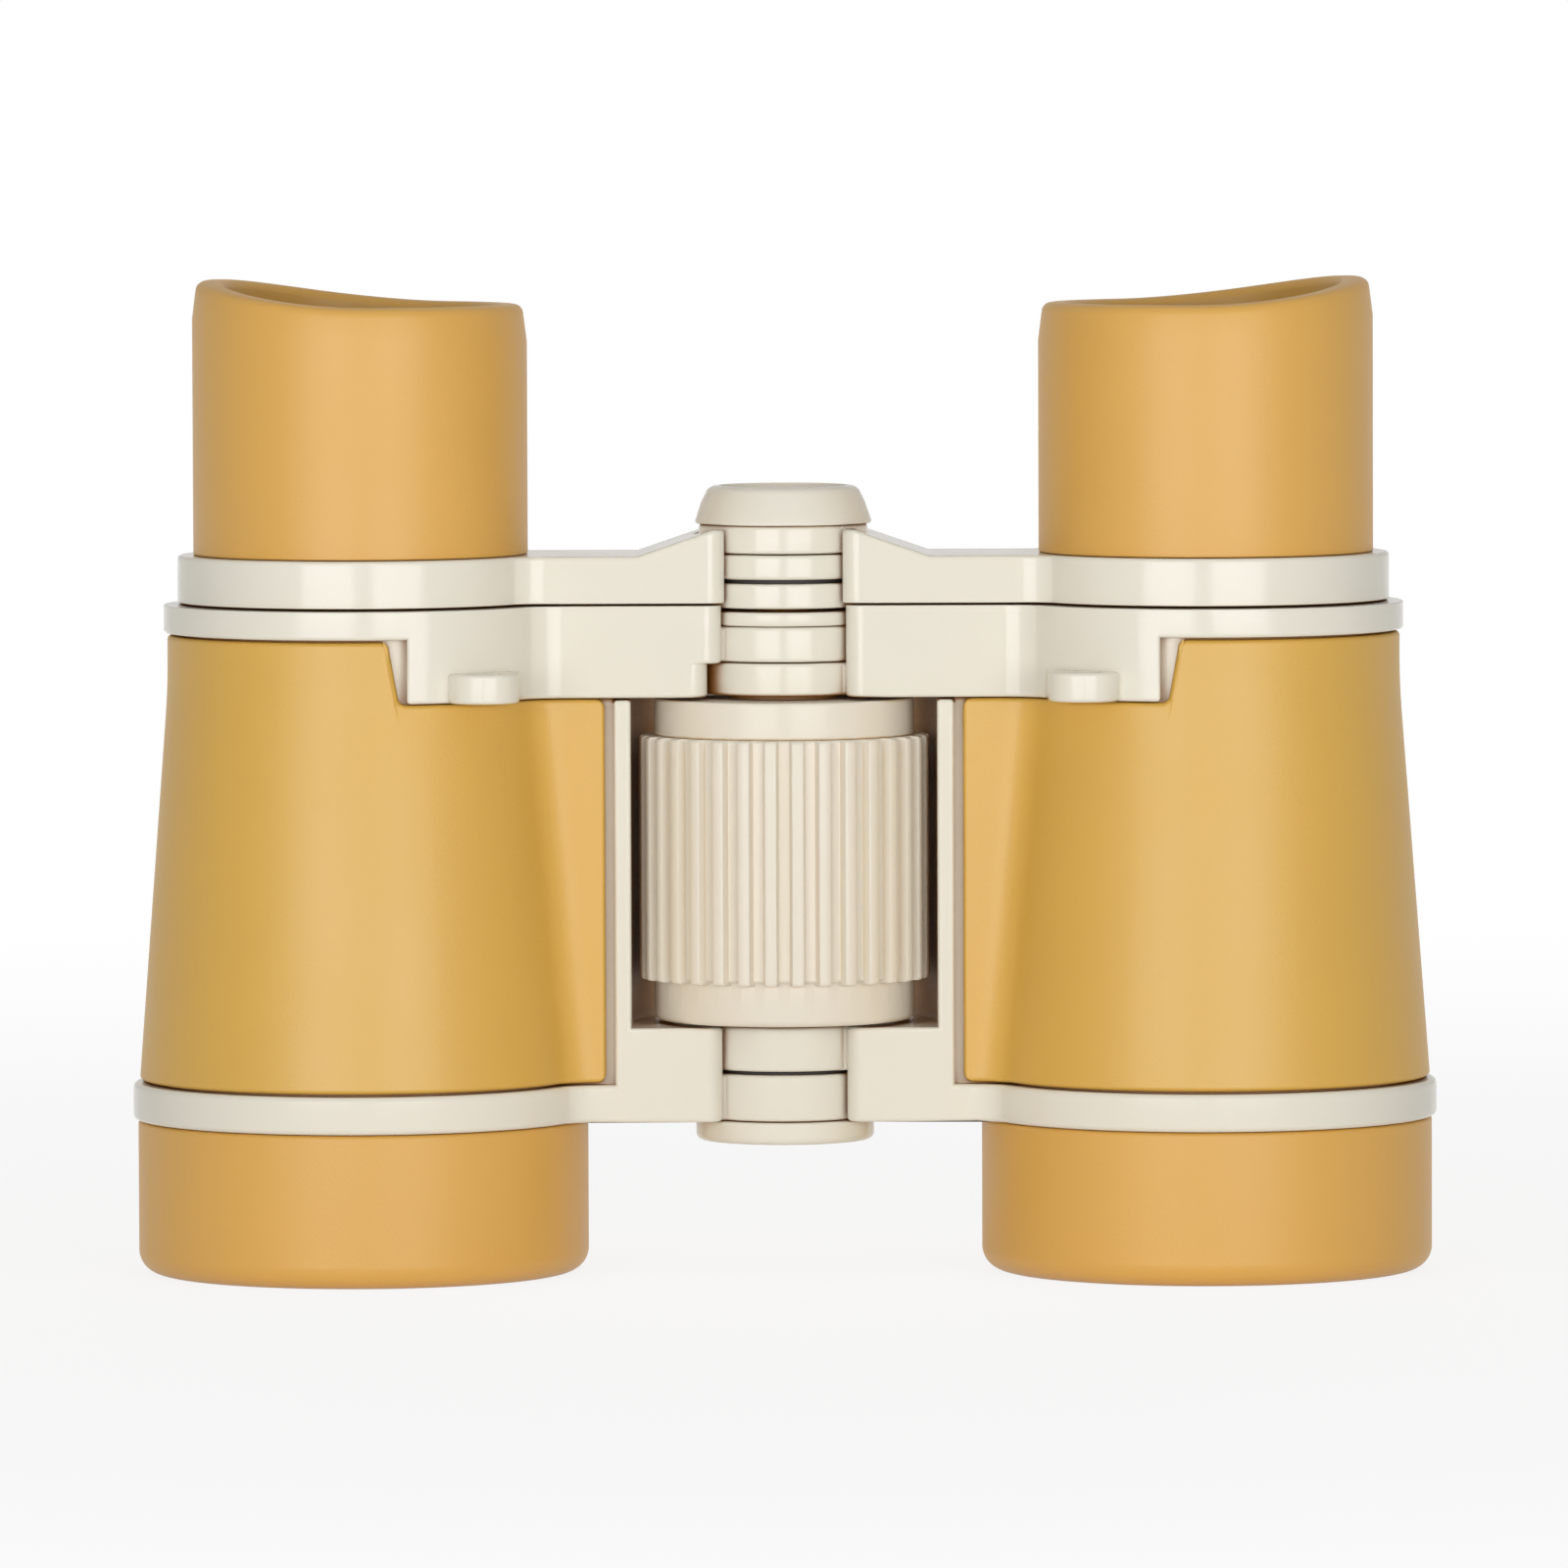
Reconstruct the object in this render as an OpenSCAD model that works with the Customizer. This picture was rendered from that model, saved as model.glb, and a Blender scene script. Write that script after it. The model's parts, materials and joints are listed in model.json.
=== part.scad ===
// Toy binoculars: two barrels that fold about one hinge, and a centre wheel that focuses both eyepieces.
// +Z runs up along the barrels, the hinge lies on the Z axis and the photographed side faces -Y.
// A barrel's pieces are drawn for the left barrel, whose axis lies at -X, and mirrored for the right one.

/* [Barrels] */
// Distance between the two barrel axes when the barrels are open
barrel_spacing = 72; // [70:0.5:84]
// Wall of the barrel tube
barrel_wall = 1.5; // [1.2:0.1:2]
// Height of the ring between the armour and the objective cup
ring_h = 3.2; // [2.4:0.1:4]
// How far that ring stands proud of the armour's lower edge
ring_proud = 0.55; // [0.3:0.05:1]
// Half the depth of the flat brackets that reach from each barrel to the hinge
bracket_half = 7.2; // [6.6:0.1:7.6]
// Radius of the concave blend between a round barrel and its flat bracket
blend_r = 4; // [3:0.1:5]
// Width of the rail beside the focus wheel
rail_w = 1.4; // [1:0.1:2]
// Width of the groove between the rail and the armour
rail_groove = 0.8; // [0.4:0.1:1.2]

/* [Armour] */
// Outer radius of the armour at its top
armour_top_r = 16.5; // [16:0.1:17.5]
// Outer radius of the armour at its lower edge
armour_bottom_r = 19.05; // [18.4:0.05:20]
// Height of the armour
armour_h = 37.9; // [36:0.1:42]
// Height of the straight band at the armour's top
armour_straight_h = 4.5; // [3:0.1:7]
// Thickness of the armour
armour_t = 1.2; // [0.8:0.1:1.5]
// How far the armour's flat face lies behind the face of the bracket
armour_inset = 0.2; // [0:0.05:0.5]
// Radius of the two corners of the notch in the armour's top edge
notch_r = 0.7; // [0.3:0.1:1]

/* [Objective cups] */
// Outer radius of the objective cup
cup_r = 19.2; // [18.6:0.1:20.2]
// Height of the objective cup
cup_h = 13.1; // [11.5:0.1:16]
// Wall of the objective cup round the barrel's neck
cup_wall = 2.15; // [1.6:0.05:2.6]
// Rounding of the cup's lower edge
cup_round_r = 2; // [1:0.1:2.4]
// Width of the foot that the cup stands on
cup_foot_w = 3.6; // [3:0.1:4.6]
// Depth of the recess in front of the barrel's neck
hood_depth = 6.1; // [4.5:0.1:8]

/* [Top covers] */
// Radius of the cover's round flange
cover_r = 16.8; // [16.4:0.1:17.8]
// Thickness of the cover's round flange
cover_flange_h = 2.4; // [1.8:0.1:3.2]
// Height of the bracket block below the cover's top face
cover_block_h = 7.8; // [7:0.1:9]
// Distance from the barrel axis to the block's outer end
cover_block_from = 4.3; // [3:0.1:5.5]
// Wall of the sleeve that guides the eyepiece tube
sleeve_wall = 0.8; // [0.6:0.05:1]

/* [Strap lugs] */
// Distance of the strap lug from the barrel axis
lug_from_axis = 10.7; // [9:0.1:12]
// Width of the strap lug
lug_w = 6.1; // [5:0.1:7]
// Height of the strap lug
lug_h = 2.5; // [2:0.1:3.5]
// Distance of the lug's tip from the plane of the barrel axes
lug_reach = 17.2; // [16.6:0.1:18.4]
// Radius of the lug's rounded corners, up to half its width
lug_corner_r = 3; // [0.8:0.1:3.5]
// Radius of the hole in the lug
lug_hole_r = 1; // [0.7:0.05:1.2]

/* [Eyepieces] */
// Radius of the arm's ring
arm_r = 15.6; // [15:0.1:16.4]
// Thickness of the arm
arm_h = 4; // [3.4:0.1:4.8]
// Distance from the hinge to the foot of the arm's ramp
ramp_foot_x = 12.4; // [11:0.1:14]
// Distance from the hinge to the top of the arm's ramp
ramp_top_x = 6; // [5.6:0.1:8]
// Outer radius of the eyepiece tube
tube_r = 12.1; // [11.7:0.05:12.4]
// Wall of the eyepiece tube
tube_wall = 1.5; // [1:0.1:2]
// Length of the eyepiece tube below the arm, beyond the focus travel
tube_hold = 8.3; // [6.5:0.1:10]
// Outer radius of the eyecup
eyecup_r = 14.25; // [13.9:0.05:14.9]
// Height of the eyecup on its low side
eyecup_h = 21.2; // [19:0.1:26]
// Rise of the eyecup's wing above its low side
wing_h = 2.1; // [1:0.1:4]
// Direction of the wing's peak, turned back from straight outwards
wing_turn = 14; // [0:1:30]
// Half of the angle that the wing spans
wing_span = 110; // [80:5:150]
// Radius of the opening in the eyecup
eyecup_opening_r = 11.5; // [11:0.1:12]
// Radius of the rounded edges of the eyecup's rim
rim_edge_r = 0.8; // [0.4:0.1:1]
// How far the eyecup's side leans in at the rim
rim_lean = 0.3; // [0:0.05:0.5]

/* [Lenses] */
// Wall of the barrel's neck round the objective lens
neck_wall = 2; // [1.7:0.05:2.4]
// Thickness of the objective lens at its edge
objective_edge = 1.2; // [0.8:0.1:1.6]
// Radius of the eyepiece lens
eye_lens_r = 8.5; // [7.5:0.1:9]
// Thickness of the eyepiece lens at its middle
eye_lens_middle = 1.2; // [0.9:0.1:1.5]
// Magnification, which sets how strongly the lenses curve
magnification = 4; // [3.5:0.1:5]
// Refractive index of the lens plastic
lens_index = 1.49; // [1.45:0.01:1.6]

/* [Hinge] */
// Radius of the hinge knuckles
knuckle_r = 7.2; // [7:0.1:7.4]
// Radius of the caps at the two ends of the hinge
cap_r = 7.6; // [7.4:0.1:8]
// Gap round a knuckle that the other barrel's bracket or arm leaves
knuckle_gap = 0.3; // [0.25:0.05:0.5]
// Distance of a bracket's end from the hinge axis
bracket_end = 5.3; // [5:0.1:6]
// Distance of an arm's end from the hinge axis
arm_end = 5; // [4.7:0.1:5.6]
// Distance of the left cover's end from the hinge axis, beside the right cover's knuckle
relief_end = 6.5; // [6:0.1:6.8]
// Rounding of the ends of the brackets and arms, seen from above
end_r = 1.5; // [0.6:0.1:1.7]
// Radius of the lower hinge pin
pin_r = 3; // [2.6:0.1:3.2]
// Outer radius of the upper hinge bush
bush_r = 4.6; // [4.2:0.1:5]
// Thickness of the bush's flange
bush_flange_h = 1.25; // [1:0.05:1.4]
// Height of the bottom cap
bottom_cap_h = 1.9; // [1.6:0.1:2.6]
// Thickness of the washer between the lower knuckles
hinge_washer_h = 0.2; // [0.1:0.05:0.3]

/* [Focus wheel] */
// Radius of the grip over its ribs
grip_r = 12.4; // [11.8:0.1:12.8]
// Height of the ribbed grip
grip_h = 20.8; // [18:0.1:23]
// Radius of the collars above and below the grip
collar_r = 11.1; // [10.9:0.1:11.4]
// Height of the upper collar
upper_collar_h = 3.16; // [2.4:0.02:4]
// Height of the lower collar
lower_collar_h = 3.5; // [2.6:0.1:4.2]
// Number of ribs on the grip
rib_count = 33; // [24:1:40]
// Depth of the grooves between the ribs
rib_depth = 0.55; // [0.3:0.05:0.7]
// Gap between the grip and the barrels
wheel_gap = 0.6; // [0.4:0.05:1]

/* [Focus drive] */
// Travel of the eyepieces in one turn of the wheel
focus_travel = 4; // [3:0.1:5]
// Radius of the focus screw
screw_r = 2.95; // [2.5:0.05:3]
// Thickness of the focus screw's collar
screw_collar_h = 2.1; // [1.6:0.1:2.6]
// Radius of the spigot that carries the arms
spigot_r = 4; // [3.6:0.1:4.4]
// Height of the left arm's knuckle
left_arm_knuckle_h = 2.1; // [1.8:0.1:2.6]
// Height of the right arm's knuckle
right_arm_knuckle_h = 2.35; // [2:0.05:2.8]
// Height of the top cap
top_cap_h = 3.2; // [2.6:0.1:4]
// How far the top cap narrows towards its top
top_cap_taper = 0.9; // [0.5:0.1:1.2]
// Length of the focus nut beyond the focus travel
nut_hold = 10; // [8:0.1:11]
// Radius of the focus nut over its corners
nut_corner_r = 5.8; // [5.4:0.1:6.2]

/* [Clearances] */
// Gap where two fixed faces meet
seat = 0.05; // [0.02:0.01:0.08]
// Radial gap of a fixed fit
fit = 0.05; // [0.02:0.01:0.08]
// Radial gap of a turning fit
run = 0.07; // [0.04:0.01:0.1]
// Radial gap round a sliding tube or screw
slide = 0.2; // [0.15:0.01:0.3]
// Seam between two visible pieces
seam = 0.2; // [0.1:0.01:0.3]
// Gap above and below a turning knuckle
knuckle_play = 0.1; // [0.05:0.01:0.15]
// Gap above and below the focus wheel
wheel_play = 0.3; // [0.2:0.01:0.4]

/* [Hidden] */

$fn = 96;
cream = "#EBE6D8";
wheel_cream = "#E2D9C8";
mustard = "#DDB06A";
tan_rubber = "#DDAF70";
clear_plastic = "#C9DCE6";
black_plastic = "#2B2A28";
steel = "#B9BBBD";

// Overrun of every cut past the face that it opens
over = 1;
// How far a bracket's blend starts inside the round piece that it joins
blend_sink = 0.1;

// Heights along the barrels, from the feet up
ring_z = cup_h + seat;
ring_top = ring_z + ring_h;
armour_z = ring_top + seam;
armour_top = armour_z + armour_h;
straight_z = armour_top - armour_straight_h;
flange_z = armour_top + seam;
cover_top = flange_z + cover_flange_h;
block_z = cover_top - cover_block_h;
arm_z = cover_top + seam;
arm_top = arm_z + arm_h;
eyecup_z = arm_top + seat;

// Plan of one barrel, measured from its own axis towards the hinge
hinge_x = barrel_spacing / 2;
wall_x = grip_r + wheel_gap;
rail_x = wall_x + rail_w;
armour_end = hinge_x - rail_x - rail_groove;
armour_half = bracket_half - armour_inset;
core_half = armour_half - armour_t - fit;
core_blend_r = blend_r + armour_t + fit;
body_top_r = armour_top_r - armour_t - fit;
body_bottom_r = armour_bottom_r - armour_t - fit;
ring_r = armour_bottom_r + ring_proud;
cup_opening_r = cup_r - cup_foot_w;
neck_r = cup_r - cup_wall - fit;
neck_z = hood_depth;
objective_r = neck_r - neck_wall;
body_top = flange_z - seat;
knuckle_clear_r = knuckle_r + knuckle_gap;
web_half_share = 0.72;
web_half = knuckle_r * web_half_share;

// Lengths that the focus travel adds to
tube_drop = tube_hold + focus_travel;
nut_h = nut_hold + focus_travel;

// Focus wheel, hung below the covers' blocks
wheel_h = upper_collar_h + grip_h + lower_collar_h;
wheel_top = block_z - wheel_play;
wheel_z = wheel_top - wheel_h;
grip_top = wheel_top - upper_collar_h;
grip_z = wheel_z + lower_collar_h;
bracket_top = wheel_z - wheel_play;

// Hinge knuckles: the left barrel carries the lowest and the highest
lower_left_z = ring_z;
lower_split_share = 0.493;
lower_split = lower_left_z + (bracket_top - lower_left_z) * lower_split_share;
lower_right_z = lower_split + hinge_washer_h + knuckle_play;
upper_right_z = block_z + knuckle_play;
bush_flange_top_share = 0.25;
bush_flange_top = cover_top - cover_flange_h * bush_flange_top_share;
upper_left_top = bush_flange_top - bush_flange_h;
upper_split_share = 0.474;
upper_split = upper_right_z + (upper_left_top - upper_right_z) * upper_split_share;

// Bridge: what the focus screw lifts
screw_collar_z = bush_flange_top + wheel_play;
bridge_washer_h = 0.35;
left_arm_knuckle_z = screw_collar_z + screw_collar_h + bridge_washer_h;
right_arm_knuckle_z = left_arm_knuckle_z + left_arm_knuckle_h + knuckle_play;
top_cap_z = right_arm_knuckle_z + right_arm_knuckle_h + seat;
ramp_drop = 0.35;
ramp_top_z = top_cap_z - ramp_drop;

// Optics: a Galilean pair whose focal lengths follow the lens gap and the magnification
lip_r_share = 0.945;
lip_r = objective_r * lip_r_share;
lip_top = ring_z + barrel_wall;
shoulder_drop = 1.95;
shoulder_z = ring_z - shoulder_drop;
tube_head_r = tube_r + tube_wall / 3;
tube_top_share = 0.7;
tube_top = eyecup_z + eyecup_h * tube_top_share;
retainer_h = 1.6;
lens_gap = tube_top - shoulder_z;
objective_focal = lens_gap * magnification / (magnification - 1);
eye_focal = lens_gap / (magnification - 1);
objective_surface_r = 2 * (lens_index - 1) * objective_focal;
eye_surface_r = 2 * (lens_index - 1) * eye_focal;
objective_bulge = cap_height(objective_surface_r, objective_r);
objective_seat_bulge = objective_bulge - cap_height(objective_surface_r, lip_r);
objective_edge_top = shoulder_z - seat - objective_seat_bulge;
eye_lens_dip = cap_height(eye_surface_r, eye_lens_r);
eye_lens_h = eye_lens_middle + 2 * eye_lens_dip;
eye_lens_top = tube_top - retainer_h;
eye_lens_z = eye_lens_top - eye_lens_h;

function cap_height(r, half_width) = r - sqrt(r * r - half_width * half_width);

// Points of an arc, in n steps from angle a0 to angle a1
function arc(centre, r, a0, a1, n) =
    [for (i = [0:n]) let (a = a0 + (a1 - a0) * i / n) centre + r * [cos(a), sin(a)]];

// Centre and angle of the concave blend between a circle of radius r and a flat at y = -half
function blend_x(r, half, f) = sqrt(pow(r + f, 2) - pow(half + f, 2));
function blend_angle(r, half, f) = atan2(half + f, blend_x(r, half, f));
function blend_arc(r, half, f, n) =
    arc([blend_x(r, half, f), -half - f], f, 90, 180 - blend_angle(r, half, f), n);

// Outline of a bracket from inside its round piece to x = reach, both sides
function flipped(points) = [for (i = [len(points) - 1:-1:0]) [points[i].x, -points[i].y]];
function bracket_points(r, half, f, reach) =
    let (front = concat([[reach, -half]], blend_arc(r - blend_sink, half, f, 8)))
    let (inner = [0, front[len(front) - 1].y])
    concat(front, [inner], flipped(concat(front, [inner])));

// Surface through closed loops of points, joined in order and closed on itself or with flat ends.
// A loop runs out along one wall and back along the other, so an end is a strip across the wall.
module loft(loops, ring) {
    n = len(loops[0]);
    last = len(loops) - (ring ? 1 : 2);
    sides = [
        for (i = [0:last], j = [0:n - 1])
            let (k = (i + 1) % len(loops), m = (j + 1) % n)
            [i * n + j, k * n + j, k * n + m, i * n + m]
    ];
    far = (len(loops) - 1) * n;
    ends = ring ? [] : [
        for (j = [0:n / 2 - 2])
            let (m = n - 1 - j)
            each [[j, j + 1, m - 1, m], [far + m, far + m - 1, far + j + 1, far + j]]
    ];
    polyhedron([for (loop = loops) each loop], concat(sides, ends), convexity = 6);
}

module at_left_barrel() {
    translate([-hinge_x, 0, 0]) children();
}

module right_side() {
    mirror([1, 0, 0]) children();
}

module tube(r, bore_r, h) {
    difference() {
        cylinder(r = r, h = h);
        translate([0, 0, -over]) cylinder(r = bore_r, h = h + 2 * over);
    }
}

module bracket(r, half, f, reach, h) {
    linear_extrude(h) polygon(bracket_points(r, half, f, reach));
}

// Outline of the room beyond a bracket's end, which has rounded corners
function beyond_end(end) =
    let (corner = -end - end_r, side = bracket_half - end_r, outside = bracket_half + over)
    concat(
        [[over, outside], [over, -outside], [corner, -outside]],
        arc([corner, -side], end_r, -90, 0, 8),
        arc([corner, side], end_r, 0, 90, 8),
        [[corner, outside]]
    );

// What a bracket gives up round the hinge: all but the web that carries its knuckle
module hinge_cut(end, bottom, top, knuckle_z, knuckle_h, bore_r) {
    cut_h = top - bottom + 2 * over;
    translate([0, 0, bottom - over]) difference() {
        union() {
            linear_extrude(cut_h) polygon(beyond_end(end));
            cylinder(r = knuckle_clear_r, h = cut_h);
        }
        translate([-knuckle_clear_r - over, -web_half, knuckle_z - bottom + over])
            cube([knuckle_clear_r + over, 2 * web_half, knuckle_h]);
    }
    translate([0, 0, bottom - over]) cylinder(r = bore_r, h = cut_h);
}

// Room for the focus wheel between the rails: flat in front, round behind
module wheel_space() {
    reach = bracket_half + over;
    outline = concat(
        arc([0, 0], wall_x, 90, 180, 15),
        [[-wall_x, -reach], [0, -reach]]
    );
    translate([0, 0, bracket_top]) linear_extrude(block_z - bracket_top + over) polygon(outline);
}

screw_head_r = 1.9;
screw_head_h = 1.3;
screw_shank_r = 1;
screw_shank_h = 9;
screw_y = 2.8;
screw_seat_share = 0.35;
screw_x = (body_top_r + hinge_x - rail_x) / 2;
screw_seat_z = block_z + cover_block_h * screw_seat_share;

module at_cover_screws() {
    for (side = [-1, 1]) at_left_barrel() translate([screw_x, side * screw_y, 0]) children();
}

boss_r = screw_shank_r + sleeve_wall * 1.5;
pocket_half = core_half - barrel_wall;
pocket_from = body_top_r + blend_sink * 4;
pocket_to = hinge_x - rail_x - blend_sink * 4;

// Hollow of the web beside the tube, with a boss for each cover screw
module web_pocket() {
    difference() {
        at_left_barrel() translate([pocket_from, -pocket_half, bracket_top + barrel_wall])
            cube([pocket_to - pocket_from, 2 * pocket_half, block_z - bracket_top]);
        at_cover_screws() cylinder(r = boss_r, h = block_z + over);
    }
}

module barrel_outside() {
    rotate_extrude() polygon([
        [0, neck_z], [neck_r, neck_z], [neck_r, ring_z], [body_bottom_r, ring_z],
        [body_bottom_r, ring_top], [body_top_r, straight_z], [body_top_r, body_top], [0, body_top]
    ]);
}

barrel_bore_bottom_r = body_bottom_r - barrel_wall;
barrel_bore_top_r = body_top_r - barrel_wall;

module barrel_bore() {
    rotate_extrude() polygon([
        [0, neck_z - over], [objective_r + fit, neck_z - over], [objective_r + fit, shoulder_z],
        [lip_r, shoulder_z], [lip_r, lip_top], [barrel_bore_bottom_r, lip_top],
        [barrel_bore_bottom_r, ring_top], [barrel_bore_top_r, straight_z],
        [barrel_bore_top_r, body_top + over], [0, body_top + over]
    ]);
}

rail_top = block_z - seam;
core_top = block_z - seat;

module barrel_body(knuckle_z, knuckle_h, knuckle_bore_r) {
    color(cream) {
        difference() {
            union() {
                at_left_barrel() {
                    barrel_outside();
                    translate([0, 0, ring_z]) cylinder(r = ring_r, h = ring_h);
                    translate([0, 0, ring_z]) bracket(ring_r, bracket_half, blend_r, hinge_x, ring_h);
                    translate([0, 0, ring_z])
                        bracket(body_top_r, core_half, core_blend_r, hinge_x - rail_x, core_top - ring_z);
                    translate([hinge_x - rail_x, -bracket_half, ring_z])
                        cube([rail_x, 2 * bracket_half, rail_top - ring_z]);
                }
            }
            at_left_barrel() barrel_bore();
            wheel_space();
            web_pocket();
            hinge_cut(bracket_end, ring_z, bracket_top, knuckle_z, knuckle_h, knuckle_bore_r);
            at_cover_screws() translate([0, 0, screw_seat_z - screw_shank_h - over])
                cylinder(r = screw_shank_r + fit, h = screw_shank_h + over);
        }
        translate([0, 0, knuckle_z]) tube(knuckle_r, knuckle_bore_r, knuckle_h);
    }
}

// Outer radius of the armour at height z: a cone that runs smoothly into the straight band
armour_slope = (armour_bottom_r - armour_top_r) / (straight_z - armour_z);
armour_bend_h = armour_straight_h;
function armour_r(z) =
    z > straight_z + armour_bend_h / 2 ? armour_top_r
    : z < straight_z - armour_bend_h / 2 ? armour_top_r + armour_slope * (straight_z - z)
    : armour_top_r + armour_slope * pow(straight_z + armour_bend_h / 2 - z, 2) / (2 * armour_bend_h);

// Top edge of the armour over x from the barrel axis: high outside, low under the cover's block
notch_low = core_top - seat;
notch_x = cover_block_from - rail_groove;
notch_lean = 0.7;
notch_edge = concat(
    arc([notch_x - notch_lean - notch_r, armour_top - notch_r], notch_r, 90, 15, 4),
    arc([notch_x + notch_r, notch_low + notch_r], notch_r, 195, 270, 4)
);

// One loop of the armour: up the outside and down the inside, where column c meets the section
bend_steps = 3;
armour_levels = concat(
    [armour_z],
    [for (i = [0:bend_steps]) straight_z + armour_bend_h * (i / bend_steps - 1 / 2)],
    [armour_top]
);
blend_steps = 6;
near_steps = 12;
far_steps = 20;
notch_first = blend_steps + 2 + near_steps;
half_columns = notch_first + len(notch_edge) + far_steps;

function armour_column(c, r, half, f) =
    let (edge_c = len(notch_edge) - 1 - (c - notch_first))
    let (start = blend_angle(r, half, f))
    let (low_a = acos(notch_edge[len(notch_edge) - 1].x / r), high_a = acos(notch_edge[0].x / r))
    c == 0 ? [armour_end, -half]
    : c <= blend_steps + 1 ? blend_arc(r, half, f, blend_steps)[c - 1]
    : c < notch_first ? polar(r, start + (low_a - start) * (c - blend_steps - 1) / near_steps)
    : edge_c >= 0 ? polar(r, acos(notch_edge[edge_c].x / r))
    : polar(r, high_a + (180 - high_a) * (c - notch_first - len(notch_edge) + 1) / far_steps);
function polar(r, a) = r * [cos(a), -sin(a)];
function armour_edge_z(c) =
    c < notch_first ? notch_low
    : c < notch_first + len(notch_edge) ? notch_edge[len(notch_edge) - 1 - (c - notch_first)].y
    : armour_top;
function armour_loop(c) =
    let (rise = (armour_edge_z(c) - armour_z) / (armour_top - armour_z))
    let (heights = [for (z = armour_levels) armour_z + (z - armour_z) * rise])
    let (n = len(heights))
    concat(
        [for (z = heights) let (p = armour_column(c, armour_r(z), armour_half, blend_r)) [p.x, p.y, z]],
        [for (i = [n - 1:-1:0])
            let (z = heights[i])
            let (p = armour_column(c, armour_r(z) - armour_t, armour_half - armour_t, blend_r + armour_t))
            [p.x, p.y, z]]
    );

module armour() {
    front = [for (c = [0:half_columns - 1]) armour_loop(c)];
    back = [for (c = [half_columns - 2:-1:0]) [for (p = front[c]) [p.x, -p.y, p.z]]];
    color(mustard) at_left_barrel() loft(concat(front, back), false);
}

module objective_cup() {
    color(tan_rubber) at_left_barrel() rotate_extrude() polygon(concat(
        [[cup_opening_r, 0]],
        arc([cup_r - cup_round_r, cup_round_r], cup_round_r, -90, 0, 10),
        [[cup_r, cup_h], [neck_r + fit, cup_h]],
        [[neck_r + fit, neck_z - seat], [cup_opening_r, neck_z - seat]]
    ));
}

// A lens with two like faces, whose thickness goes from edge at the rim to middle on the axis
lens_steps = 10;
module lens(r, edge, middle, surface_r) {
    swell = (middle - edge) / 2;
    side = swell > 0 ? 1 : -1;
    face = [
        for (i = [0:lens_steps])
            let (x = r * i / lens_steps)
            [x, swell - side * cap_height(surface_r, x)]
    ];
    rotate_extrude() polygon(concat(
        [for (p = face) [p.x, -p.y]],
        [for (i = [lens_steps:-1:0]) [face[i].x, edge + face[i].y]]
    ));
}

objective_edge_z = objective_edge_top - objective_edge;
objective_retainer_top = objective_edge_z - objective_seat_bulge - seat;

module objective_lens() {
    color(clear_plastic, 0.5) at_left_barrel() translate([0, 0, objective_edge_z])
        lens(objective_r, objective_edge, objective_edge + 2 * objective_bulge, objective_surface_r);
}

module objective_retainer() {
    color(black_plastic) at_left_barrel() translate([0, 0, objective_retainer_top - retainer_h])
        tube(objective_r, lip_r, retainer_h);
}

lug_round_share = 0.49;
lug_round_r = min(lug_corner_r, lug_w * lug_round_share);

module strap_lug() {
    half_w = lug_w / 2;
    corner_y = lug_round_r - lug_reach;
    outline = concat(
        [[half_w, 0], [-half_w, 0]],
        arc([lug_round_r - half_w, corner_y], lug_round_r, 180, 270, 8),
        arc([half_w - lug_round_r, corner_y], lug_round_r, 270, 360, 8)
    );
    translate([lug_from_axis, 0, block_z]) linear_extrude(lug_h) polygon(outline);
}

lug_hole_y = (sqrt(pow(cover_r, 2) - pow(lug_from_axis, 2)) + lug_reach) / 2;
sleeve_bore_r = tube_r + slide;
tube_space_r = body_top_r + fit;

module top_cover(knuckle_z, knuckle_h, knuckle_bore_r) {
    block_reach = hinge_x - cover_block_from;
    color(cream) {
        difference() {
            union() {
                at_left_barrel() {
                    translate([0, 0, flange_z]) cylinder(r = cover_r, h = cover_flange_h);
                    translate([0, 0, flange_z])
                        bracket(cover_r, bracket_half, blend_r, hinge_x, cover_flange_h);
                    intersection() {
                        union() {
                            translate([0, 0, block_z]) cylinder(r = cover_r, h = cover_block_h);
                            translate([0, 0, block_z])
                                bracket(cover_r, bracket_half, blend_r, hinge_x, cover_block_h);
                            strap_lug();
                        }
                        translate([cover_block_from, -2 * cover_r, block_z])
                            cube([block_reach, 4 * cover_r, cover_block_h]);
                    }
                }
            }
            hinge_cut(bracket_end, block_z, cover_top, knuckle_z, knuckle_h, knuckle_bore_r);
            at_left_barrel() {
                translate([0, 0, block_z - over]) cylinder(r = tube_space_r, h = flange_z - block_z + over);
                translate([0, 0, block_z]) cylinder(r = sleeve_bore_r, h = cover_block_h + over);
                translate([lug_from_axis, -lug_hole_y, block_z - over])
                    cylinder(r = lug_hole_r, h = lug_h + 2 * over);
            }
            at_cover_screws() {
                translate([0, 0, block_z - over]) cylinder(r = screw_shank_r + fit, h = cover_block_h);
                translate([0, 0, screw_seat_z - seat]) cylinder(r = screw_head_r + fit, h = cover_block_h);
            }
        }
        at_left_barrel() translate([0, 0, block_z])
            tube(sleeve_bore_r + sleeve_wall, sleeve_bore_r, cover_block_h);
        translate([0, 0, knuckle_z]) tube(knuckle_r, knuckle_bore_r, knuckle_h);
    }
}

module cover_screws() {
    color(steel) at_cover_screws() {
        translate([0, 0, screw_seat_z - screw_shank_h])
            cylinder(r = screw_shank_r, h = screw_shank_h + screw_head_h);
        translate([0, 0, screw_seat_z]) cylinder(r = screw_head_r, h = screw_head_h);
    }
}

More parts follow.
